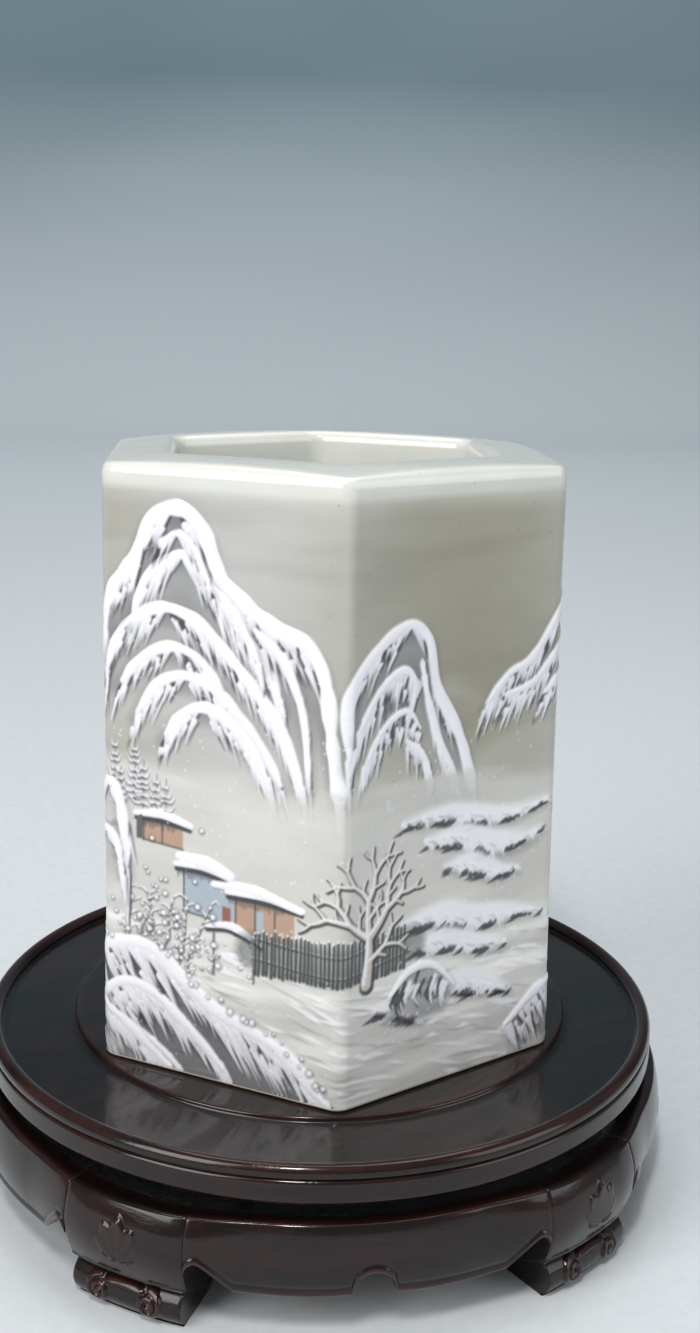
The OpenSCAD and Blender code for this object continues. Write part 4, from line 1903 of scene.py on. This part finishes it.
@dataclass
class CarvedBase:
    """The carved foot ring: five waisted aprons between five scroll feet."""

    count: int = 5
    first_leg: float = 40.0
    face_r: float = 79.9
    top: float = 24.0
    low: float = 9.0
    back_r: float = 71.8
    ledge_r: float = 67.8
    ledge_top: float = 12.0
    knee: float = 3.05
    leg_half: float = 9.75
    leg_in: float = 65.0
    toe_r: float = 3.9
    toe_out: float = 77.7
    swell: float = 1.4
    gap: float = 0.02
    top_break: float = 0.35
    end_break: float = 0.14
    end_run: float = 0.25

    def build(self) -> None:
        """Makes the aprons and the legs, each with wood that runs its own way."""
        step = 360 / self.count
        for i in range(self.count):
            azimuth = self.first_leg + step * i
            self.leg(i + 1, azimuth)
            middle = azimuth - step / 2
            self.apron(i + 1, middle)

    def swelling(self, high: np.ndarray) -> np.ndarray:
        """How far the face stands in from its fullest level at each height."""
        middle = (self.top + self.low) / 2
        t = (high - middle) / ((self.top - self.low) / 2)
        return self.swell * np.clip(t, -1.2, 1.2) ** 2

    def knee_out(self, angle: np.ndarray, high: np.ndarray) -> np.ndarray:
        """How far the face swells towards a leg, by the angle from the leg's middle."""
        near = 1 - smooth_step(5, 21, np.abs(angle))
        return self.knee * near * (0.55 + 0.45 * bump_at(high, 17, 12))

    def low_edge(self, mm: np.ndarray, half: float) -> np.ndarray:
        """The height of an apron's cut lower edge at a distance from its middle.

        Args:
            mm: the distance.
            half: half the apron's length.

        Returns:
            The height.
        """
        x = np.abs(mm)
        notch = np.where(x < 4.2, 10.3 + np.sqrt(np.maximum(0, 4.3**2 - x**2)) * 0.96, 0)
        lobe = self.low + 0.5 * np.clip(np.abs(x - 16) / 12, 0, 1) ** 3
        s = half - x
        bean = np.where(s < 2.4, 13.0 + np.sqrt(np.maximum(0, 2.4**2 - (s - 2.4) ** 2)), 0)
        slant = np.where((s >= 2.4) & (s < 9.4), 15.4 - (s - 2.4) ** 1.15 * 0.684, 0)
        return np.maximum.reduce([notch, lobe, bean, slant])

    def apron(self, number: int, azimuth: float) -> None:
        """Makes one apron.

        Args:
            number: which apron.
            azimuth: its middle, in degrees from -Y towards +X.
        """
        half_angle = 180 / self.count - self.leg_half - self.gap
        half = math.radians(half_angle) * self.face_r
        ends = np.concatenate([np.linspace(0, 1, 12) ** 2 * 0.1, np.linspace(0.1, 0.9, 180)[1:-1]])
        spread = np.concatenate([ends, 1 - ends[:12][::-1]])
        angle = np.sort(np.unique(np.round(spread, 5))) * 2 * half_angle - half_angle
        rows = []
        wear_and_highlight_rows = []
        hollow_shade_rows = []
        for a in angle:
            mm = math.radians(a) * self.face_r
            edge = float(self.low_edge(np.array([mm]), half)[0])
            section, wear_and_highlight, hollow = self.apron_section(a, edge, half_angle)
            rows.append(self.swing(section, azimuth + a))
            wear_and_highlight_rows.append(wear_and_highlight)
            hollow_shade_rows.append(hollow)
        self.finish("apron", number, azimuth, rows, wear_and_highlight_rows, hollow_shade_rows)

    def apron_section(
        self, angle: float, edge: float, half_angle: float
    ) -> tuple[np.ndarray, list, list]:
        """An apron's closed section at one angle.

        Args:
            angle: degrees from the apron's middle.
            edge: the height of its lower edge there.
            half_angle: degrees from its middle to its end.

        Returns:
            Its points, their rubbing with painted highlight, and their painted shade in hollows.
        """
        shares = np.concatenate([[1.0, 0.975, 0.93], np.linspace(0.87, 0.0, 16)])
        beads = np.array([2.1, 1.85, 1.6, 1.35, 1.05, 0.75, 0.45, 0.2, 0.05])
        high = np.concatenate([edge + 2.4 + shares * (self.top - edge - 2.4), edge + beads])
        off = half_angle + self.leg_half - abs(angle)
        out = self.face_r - self.swelling(high) + self.knee_out(np.full(len(high), off), high)
        bead = bump_at(high - edge, 0.8, 0.85) * 0.28
        sunk = bump_at(high - edge, 1.95, 0.5) * 0.22
        out = out + bead - sunk
        out[0] -= self.top_break
        out = out - 0.5 * np.clip(0.4 - (high - edge), 0, 0.4)
        near_end = half_angle - abs(angle)
        out = out - self.end_break * max(0.0, 1 - near_end / self.end_run)
        out = np.minimum(out, self.face_r + self.knee)
        outer = np.column_stack([out, high])
        ledge = min(edge, self.ledge_top - 0.4)
        back = [
            (out[-1] - 1.0, edge), (self.back_r + 1.4, edge), (self.back_r + 0.02, edge),
            (self.ledge_r, ledge),
            (self.ledge_r, self.ledge_top - 0.02), (
                self.back_r + 0.02, max(self.ledge_top, edge + 0.02)
            ),
            (self.back_r + 0.02, self.top), (out[0] - 1.5, self.top),
        ]  # fmt: skip
        # Bead crest and top edge lighter: rubbed lacquer and painted highlight.
        wear_and_highlight = np.concatenate([bump_at(high - edge, 0.8, 0.8) * 0.9, np.zeros(len(back))])
        wear_and_highlight[0] = 0.4
        # Painted shade in the groove over the bead and on the hidden back faces.
        hollow = np.concatenate([bump_at(high - edge, 1.95, 0.6), np.full(len(back), 0.8)])
        return np.vstack([outer, back]), wear_and_highlight.tolist(), hollow.tolist()

    def swing(self, section: np.ndarray, azimuth: object) -> np.ndarray:
        """Turns a section's radii and heights to points at an angle from -Y, in millimetres."""
        turn = np.radians(azimuth) - math.pi / 2
        return np.column_stack(
            [section[:, 0] * np.cos(turn), section[:, 0] * np.sin(turn), section[:, 1]]
        )

    def finish(
        self, kind: str, number: int, azimuth: float, rows: list, wear_and_highlight: list, hollow: list
    ) -> None:
        """Makes one carved piece from its sections.

        Args:
            kind: apron or leg.
            number: which one.
            azimuth: its middle, in degrees.
            rows: its sections.
            wear_and_highlight: how rubbed each point is, with painted highlight on crests.
            hollow: how sunk each point is, which lays painted shade.
        """
        wood = Lacquer(f"carved_{kind}_wood_{number}", (9, 1, 1), math.radians(azimuth)).build()
        skin = Skin(
            np.array(rows) * MM,
            shades={"wear_and_highlight": np.array(wear_and_highlight)[..., None], "hollow": np.array(hollow)[..., None]},
        )
        piece = skin.build(f"carved_{kind}_{number}", [wood])
        mount_piece(piece, "base", [f"{kind}_{number}"])

    def leg_face(self, high: np.ndarray) -> np.ndarray:
        """A leg's radius at each height: a full knee over a rolled toe.

        Args:
            high: the heights.

        Returns:
            The radii.
        """
        middle = 16.2
        knee = self.face_r + self.knee - 1.35 * ((high - middle) / 7.8) ** 2
        toe = self.toe_out + np.sqrt(np.maximum(0.04, self.toe_r**2 - (high - self.toe_r) ** 2))
        share = smooth_step(7.0, 8.6, high)
        return toe * (1 - share) + knee * share

    def leaf(self, x: np.ndarray, high: np.ndarray) -> np.ndarray:
        """The carved leaf on a knee, whose ribs fan up from one point.

        Args:
            x: the distance from the leg's middle.
            high: the heights.

        Returns:
            How far the leaf stands up, of 1.
        """
        dx, dz = x, high - 12.4
        reach, fan = np.hypot(dx, dz), np.arctan2(dx, dz)
        tip = 9.8 * (1 - 0.42 * np.abs(fan) ** 1.3) * (0.93 + 0.07 * np.cos(fan * 14))
        inside = 1 - smooth_step(0.86, 1.0, reach / np.maximum(tip, 0.5))
        inside = inside * (np.abs(fan) < 1.75) * smooth_step(0.2, 1.2, reach)
        ribs = 0.5 + 0.5 * np.cos(fan * 14)
        chips = 0.5 + 0.5 * np.cos(reach * 3.1 - np.abs(fan) * 2)
        return inside * (0.25 + 0.5 * ribs**0.7 + 0.2 * chips * ribs)

    def scroll(self, x: np.ndarray, high: np.ndarray) -> np.ndarray:
        """Two scrolls that curl away from each other across a toe.

        Args:
            x: the distance from the leg's middle.
            high: the heights.

        Returns:
            How far they stand up, of 1.
        """
        sweep = np.linspace(0, 1, 90)
        turn = sweep * 2 * math.pi * 1.55 + math.pi * 0.5
        size = 2.9 - 2.35 * sweep
        sx, sz = 6.2 - size * np.cos(turn), 3.9 + size * np.sin(turn)
        best = np.full(np.broadcast(x, high).shape, 9.0)
        for px, pz in zip(sx, sz):
            best = np.minimum(best, np.hypot(np.abs(x) - px, high - pz))
        stem = np.hypot(np.clip(np.abs(x) - 3.0, 0, None) * 0.3, np.abs(high - 6.6 + 0.05 * x**2 * 0.4))
        best = np.minimum(best, stem + (np.abs(x) > 5) * 3)
        return 1 - smooth_step(0.28, 0.85, best)

    def leg(self, number: int, azimuth: float) -> None:
        """Makes one leg with its leaf, scrolled toe and flat foot.

        Args:
            number: which leg.
            azimuth: its middle, in degrees from -Y towards +X.
        """
        half = self.leg_half - self.gap
        ends = np.array([0, 0.004, 0.012, 0.03])
        spread = np.concatenate([ends, np.linspace(0.045, 0.955, 150), 1 - ends[::-1]])
        rows, wear_and_highlight_rows, hollow_shade_rows = [], [], []
        high = np.concatenate([np.linspace(self.top, 8.4, 84), np.linspace(8.2, 0.35, 46)])
        face = self.leg_face(high)
        for share in spread:
            angle = (share * 2 - 1) * half
            x = math.radians(angle) * self.face_r
            near_end = half - abs(angle)
            leaf, scroll = self.leaf(np.array(x), high), self.scroll(np.array(x), high)
            upper = smooth_step(7.8, 9.2, high)
            knee_loss = self.knee - self.knee_out(np.full(len(high), abs(angle)), high)
            carve = upper * (leaf * 0.85 - 0.6) + (1 - upper) * (scroll * 0.7 - 0.72)
            out = face - knee_loss * upper + carve
            out = out + 0.55 * upper
            out[0] -= self.top_break
            out = out - self.end_break * max(0.0, 1 - near_end / self.end_run)
            out = np.minimum(out, self.face_r + self.knee)
            outer = np.column_stack([out, high])
            back = [
                (self.toe_out + 1.2, 0.02), (self.toe_out, 0.0), (self.leg_in + 1.0, 0.0),
                (self.leg_in, 0.5),
                (self.leg_in, self.ledge_top - 0.4), (self.leg_in + 0.4, self.ledge_top - 0.02),
                (self.back_r + 0.02, self.ledge_top), (self.back_r + 0.02, self.top),
                (out[0] - 1.5, self.top),
            ]  # fmt: skip
            section = np.vstack([outer, back])
            squeeze = 1 - 0.07 * (1 - smooth_step(6.5, 9.5, section[:, 1]))
            rows.append(self.swing(section, azimuth + angle * squeeze))
            # Raised leaf and scroll lighter: rubbed lacquer and painted highlight.
            worn_and_lit = np.clip(upper * leaf * 0.9 + (1 - upper) * scroll * 0.9, 0, 1)
            # Painted shade between the leaf's ribs, round the scrolls and on the hidden back faces.
            ribs = upper * smooth_step(0.02, 0.3, leaf) * (1 - leaf) * 0.9
            toes = (1 - upper) * (1 - scroll) * 0.5
            deep = np.clip(ribs + toes, 0, 1)
            wear_and_highlight_rows.append(np.concatenate([worn_and_lit, np.zeros(len(back))]))
            hollow_shade_rows.append(np.concatenate([deep, np.full(len(back), 0.7)]))
        self.finish("leg", number, azimuth, rows, wear_and_highlight_rows, hollow_shade_rows)


# --- The bearing and the hidden joints ---


class RingTree:
    """Geometry Nodes that set copies of one part round a circle."""

    SIZES = (
        ("Count", "NodeSocketInt"), ("Circle Radius", "NodeSocketFloat"), ("Height", "NodeSocketFloat")
    )
    ANGLES = (("First Angle", "NodeSocketFloat"), ("Own Turn", "NodeSocketFloat"))

    def __init__(self, name: str, material: bpy.types.Material) -> None:
        """Builds the tree.

        Args:
            name: the tree's name.
            material: the finish of the copies.
        """
        tree = bpy.data.node_groups.new(name, "GeometryNodeTree")
        self.tree = tree
        tree.interface.new_socket("Geometry", in_out="INPUT", socket_type="NodeSocketGeometry")
        tree.interface.new_socket("Geometry", in_out="OUTPUT", socket_type="NodeSocketGeometry")
        self.keys = {}
        for label, kind in (*self.SIZES, *self.ANGLES):
            socket = tree.interface.new_socket(label, in_out="INPUT", socket_type=kind)
            self.keys[label] = socket.identifier
        start, end = tree.nodes.new("NodeGroupInput"), tree.nodes.new("NodeGroupOutput")
        circle = self._node(
            "GeometryNodeMeshCircle", Vertices=start.outputs["Count"], Radius=start.outputs["Circle Radius"]
        )
        index = self._node("GeometryNodeInputIndex")
        turn = self._math("DIVIDE", 2 * math.pi, start.outputs["Count"])
        heading = self._math("MULTIPLY", turn, index.outputs[0])
        own = self._math("MULTIPLY", heading, start.outputs["Own Turn"])
        spin = self._node("ShaderNodeCombineXYZ", Z=own)
        spread = self._node(
            "GeometryNodeInstanceOnPoints",
            Points=circle.outputs[0],
            Instance=start.outputs["Geometry"],
            Rotation=spin.outputs[0],
        )
        lift = self._node("ShaderNodeCombineXYZ", Z=start.outputs["Height"])
        first = self._node("ShaderNodeCombineXYZ", Z=start.outputs["First Angle"])
        real = self._node("GeometryNodeRealizeInstances", Geometry=spread.outputs[0])
        placed = self._node(
            "GeometryNodeTransform", Geometry=real.outputs[0], Translation=lift.outputs[0],
            Rotation=first.outputs[0]
        )
        dressed = self._node("GeometryNodeSetMaterial", Geometry=placed.outputs[0], Material=material)
        tree.links.new(dressed.outputs[0], end.inputs["Geometry"])

    def _node(self, kind: str, **values: object) -> bpy.types.Node:
        """Adds one node and fills its named sockets.

        Args:
            kind: the node's type.
            values: a value or a socket for each input.

        Returns:
            The node.
        """
        made = self.tree.nodes.new(kind)
        for key, value in values.items():
            if isinstance(value, bpy.types.NodeSocket):
                self.tree.links.new(value, made.inputs[key])
            else:
                made.inputs[key].default_value = value
        return made

    def _math(self, operation: str, first: object, second: object) -> bpy.types.NodeSocket:
        """Adds a Math node."""
        made = self.tree.nodes.new("ShaderNodeMath")
        made.operation = operation
        for socket, value in zip(made.inputs, (first, second)):
            if isinstance(value, bpy.types.NodeSocket):
                self.tree.links.new(value, socket)
            else:
                socket.default_value = value
        return made.outputs[0]

    def spread(self, name: str, part: bpy.types.Object, *sizes: float) -> bpy.types.Object:
        """Sets copies of a part round the circle as one plain mesh.

        Args:
            name: the new piece's name.
            part: the part that is copied, which is used up.
            sizes: a value for each input, in the order of SIZES and ANGLES.

        Returns:
            The new piece.
        """
        holder = part.modifiers.new("ring", "NODES")
        holder.node_group = self.tree
        for key, value in zip(self.keys.values(), sizes):
            holder[key] = value
        graph = bpy.context.evaluated_depsgraph_get()
        mesh = bpy.data.meshes.new_from_object(part.evaluated_get(graph))
        part.modifiers.clear()
        bpy.data.objects.remove(part)
        mesh.name = name
        return link(name, mesh)


def lathe(
    name: str, profile: Path, segments: int, dent: Optional[Callable[[np.ndarray], np.ndarray]] = None
) -> bpy.types.Object:
    """Turns a small part about Z.

    Args:
        name: the part's name.
        profile: radii and heights in millimetres, from the bottom up to the top.
        segments: how many facets go round.
        dent: moves the finished points.

    Returns:
        The part, with closed ends.
    """
    turn = np.linspace(0, 2 * math.pi, segments, endpoint=False)
    section = np.array(profile)
    points = np.stack(
        [
            section[:, :1] * np.cos(turn),
            section[:, :1] * np.sin(turn),
            np.repeat(section[:, 1:], segments, 1),
        ],
        -1,
    )
    if dent is not None:
        points = dent(points)
    return Skin(points * MM).build(name, [])


@dataclass
class Bearing:
    """The steel ball bearing: two flat rings, their screws, the balls and the brass cage."""

    pitch_r: float = 51.5
    ball_r: float = 2.35
    ball_high: float = 22.5
    ball_count: int = 24
    screw_count: int = 6
    inner_r: float = 46.7
    outer_r: float = 56.3
    inner_head: float = 19.0
    outer_head: float = 26.0
    shank_r: float = 1.42
    head_r: float = 2.75
    head_t: float = 1.5

    def build(self) -> None:
        """Makes the balls and screws, and dresses the rings and the cage."""
        self.balls()
        steel = Metal.SCREW.build()
        self.screws(
            "outer_ring_screw_set", "outer_ring_screws", "base", self.outer_r, self.outer_head, 1, steel
        )
        self.screws(
            "inner_ring_screw_set", "inner_ring_screws", "turntable", self.inner_r, self.inner_head,
            -1, steel
        )
        zinc = Metal.ZINC.build()
        for node in ("bearing_inner_ring", "bearing_outer_ring"):
            dress(node, zinc)
        dress("ball_cage", Metal.BRASS.build())

    def balls(self) -> None:
        """Makes the ring of balls."""
        profile = [
            (self.ball_r * math.cos(t), self.ball_r * math.sin(t))
            for t in np.radians(np.linspace(-88, 88, 21))
        ]
        ball = lathe("ball", profile, 32)
        tree = RingTree("ring_of_balls", Metal.BALL.build())
        sizes = (self.ball_count, self.pitch_r * MM, self.ball_high * MM, 0.0, 1.0)
        piece = tree.spread("ball_ring", ball, *sizes)
        mount_piece(piece, "ball_set", ["bearing_balls"])

    def screws(
        self, name: str, node: str, body: str, radius: float, seat: float, way: int,
        steel: bpy.types.Material
    ) -> None:
        """Makes one ring of cross-slotted screws.

        Args:
            name: the piece's name.
            node: the CAD screws that it stands for.
            body: what it moves with.
            radius: the circle that the screws stand on.
            seat: the height of the top of their heads.
            way: 1 where the heads are up, -1 where they are down.
            steel: their finish.
        """
        box = [corner[2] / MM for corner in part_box(node)]
        long = abs((box[0] if way > 0 else box[1]) - seat)
        profile = [(0.15, -long + 0.05), (0.7, -long + 0.5), (self.shank_r * 0.86, -long + 1.1)]
        for i in range(int((long - self.head_t - 1.6) / 0.45)):
            crest = self.shank_r * (0.84 if i % 2 else 1.0)
            profile.append((crest, -long + 1.4 + i * 0.45))
        profile += [
            (self.shank_r, -self.head_t - 0.02), (self.head_r, -0.45), (self.head_r, -0.3), (2.5, -0.04)
        ]
        profile += [(r, -0.02) for r in (2.2, 1.9, 1.6, 1.3, 1.0, 0.7, 0.4, 0.12)]

        def cross(points: np.ndarray) -> np.ndarray:
            """Sinks a cross into the head, and turns the screw over where its head is down.

            Args:
                points: the screw's points.

            Returns:
                The same points, moved.
            """
            x, y, z = points[..., 0], points[..., 1], points[..., 2]
            near = np.minimum(np.abs(x), np.abs(y))
            arm = (1 - smooth_step(0.22, 0.42, near)) * (np.hypot(x, y) < 1.95) * (z > -0.1)
            points[..., 2] = z - arm * 0.85
            if way < 0:
                points[..., 2] *= -1
                points[..., 1] *= -1
            return points

        screw = lathe("screw", profile, 40, cross)
        tree = RingTree(f"ring_of_{name}", steel)
        sizes = (self.screw_count, radius * MM, seat * MM, 0.0, 1.7)
        mount_piece(tree.spread(name, screw, *sizes), body, [node])


@dataclass
class InnerWoodwork:
    """The unfinished wood that joins the base: the deck and the leg dowels."""

    dowel_r: float = 2.46
    circle_r: float = 68.4
    low: float = 5.5
    high: float = 18.5
    count: int = 5
    first: float = 40.0

    def build(self) -> None:
        """Dresses the deck and makes the fluted dowels."""
        wood = PlainWood().build()
        dress("base_deck", wood)
        long = self.high - self.low
        profile = [(0.2, 0.02), (self.dowel_r - 0.7, 0.05), (self.dowel_r, 0.8)]
        profile += [(self.dowel_r, 0.8 + (long - 1.6) * t) for t in np.linspace(0.1, 1, 8)]
        profile += [(self.dowel_r - 0.7, long - 0.05), (0.2, long - 0.02)]

        def flute(points: np.ndarray) -> np.ndarray:
            """Cuts fine glue flutes down the sides.

            Args:
                points: the dowel's points.

            Returns:
                The same points, moved.
            """
            turn = np.arctan2(points[..., 1], points[..., 0])
            scale = 1 - 0.05 * (0.5 + 0.5 * np.cos(turn * 16))
            points[..., 0] *= scale
            points[..., 1] *= scale
            return points

        dowel = lathe("dowel", profile, 96, flute)
        sizes = (self.count, self.circle_r * MM, self.low * MM, math.radians(self.first - 90), 1.0)
        piece = RingTree("ring_of_dowels", wood).spread("dowel_set", dowel, *sizes)
        mount_piece(piece, "base", ["leg_dowels"])


def dress(node: str, material: bpy.types.Material) -> None:
    """Gives a CAD node a better finish.

    Args:
        node: the node's name.
        material: its finish.
    """
    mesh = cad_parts[node].data
    mesh.materials.clear()
    mesh.materials.append(material)
    LOG.info("%s: CAD node in %s", node, material.name)


# --- Stage, light and camera ---


@dataclass
class Studio:
    """The pale floor and backdrop, the soft lights and the camera."""

    place: tuple[float, float, float] = (-0.02528, -0.34342, 0.19541)
    yaw: float = 0.0887
    pitch: float = 0.1579
    roll: float = 0.0176
    lens: float = 41.39
    shift: float = -0.0864

    def build(self) -> None:
        """Sets the stage."""
        self.backdrop()
        self.lights()
        self.camera()

    def backdrop(self) -> None:
        """Makes one sheet of paper that is floor in front and wall behind."""
        line = [(-7.0, 0.0), (-3.0, 0.0), (-1.0, 0.0), (0.0, 0.0), (1.2, 0.0), (1.9, 0.0)]
        line += [
            (1.9 + 0.9 * math.sin(t), 0.9 - 0.9 * math.cos(t)) for t in np.linspace(0.12, math.pi / 2, 14)
        ]
        line += [(2.8, 1.6), (2.8, 3.2)]
        across = np.linspace(-6, 6, 25)
        points = np.array([[(x, y, z) for x in across] for y, z in line])
        sheet = Skin(points, closed=False).build("paper_sweep", [Paper().build()])
        LOG.info("stage: paper sweep")

    def area(
        self, name: str, at: tuple, towards: tuple, wide: float, tall: float, watts: float, tint: tuple
    ) -> None:
        """Adds one soft light.

        Args:
            name: its name.
            at: where it is.
            towards: what it points at.
            wide: its width.
            tall: its height.
            watts: its power.
            tint: its colour.
        """
        lamp = bpy.data.lights.new(name, "AREA")
        lamp.shape = "RECTANGLE"
        lamp.size, lamp.size_y = wide, tall
        lamp.energy, lamp.color = watts, tint
        holder = bpy.data.objects.new(name, lamp)
        aim = Vector(towards) - Vector(at)
        holder.matrix_world = Matrix.Translation(at) @ aim.to_track_quat("-Z", "Y").to_matrix().to_4x4()
        bpy.context.scene.collection.objects.link(holder)

    def lights(self) -> None:
        """Sets the key on the left, a weak fill on the right, a top light and an even room."""
        self.area("key_light", (-0.9, -0.75, 0.75), (0, 0, 0.09), 0.7, 0.9, 12, (1.0, 0.99, 0.97))
        self.area(
            "glint_light", (-0.16, -0.62, 1.0), (0, -0.05, 0.03), 0.1, 0.22, 4.5, (1.0, 0.99, 0.98)
        )
        self.area("fill_light", (0.95, -0.55, 0.5), (0, 0, 0.08), 0.7, 0.7, 3.2, (0.95, 0.98, 1.0))
        self.area("top_light", (0.05, 0.25, 1.1), (0, 0, 0.05), 0.8, 0.6, 4.5, (1, 1, 1))
        self.area("wall_light", (0.0, 1.0, 1.7), (0, 2.6, 0.8), 2.2, 0.6, 22, (0.93, 0.98, 1.0))
        world = bpy.data.worlds.new("room")
        bpy.context.scene.world = world
        world.use_nodes = True
        world.node_tree.nodes["Background"].inputs["Color"].default_value = (0.82, 0.88, 0.92, 1)
        world.node_tree.nodes["Background"].inputs["Strength"].default_value = 0.28

    def camera(self) -> None:
        """Places the camera."""
        lens = bpy.data.cameras.new("camera")
        lens.sensor_width, lens.lens = 36, self.lens
        lens.shift_y = self.shift
        lens.clip_start, lens.clip_end = 0.01, 30
        cy, sy, cp, sp = math.cos(self.yaw), math.sin(self.yaw), math.cos(self.pitch), math.sin(self.pitch)
        ahead = Vector((sy * cp, cy * cp, -sp))
        right = Vector((cy, -sy, 0))
        up = right.cross(ahead)
        cr, sr = math.cos(self.roll), math.sin(self.roll)
        right, up = right * cr + up * sr, up * cr - right * sr
        frame_axes = Matrix((right, up, -ahead)).transposed().to_4x4()
        holder = bpy.data.objects.new("camera", lens)
        holder.matrix_world = Matrix.Translation(self.place) @ frame_axes
        bpy.context.scene.collection.objects.link(holder)
        bpy.context.scene.camera = holder
        bpy.context.scene.view_settings.view_transform = "Standard"


def main() -> None:
    """Builds the stage, the pot, the stand and the bearing, in that order."""
    logging.basicConfig(level=logging.INFO, format="%(name)s: %(message)s")
    Studio().build()
    pot = Pot()
    LOG.info("painting the valley")
    canvas = SnowPainter(pot.face, 130).paint()
    pot.build(canvas)
    TurningDisc().build(Lacquer("disc_wood", (8, 1.4, 1), 0.5).build())
    CarvedBase().build()
    Bearing().build()
    InnerWoodwork().build()


if __name__ == "__main__":
    main()
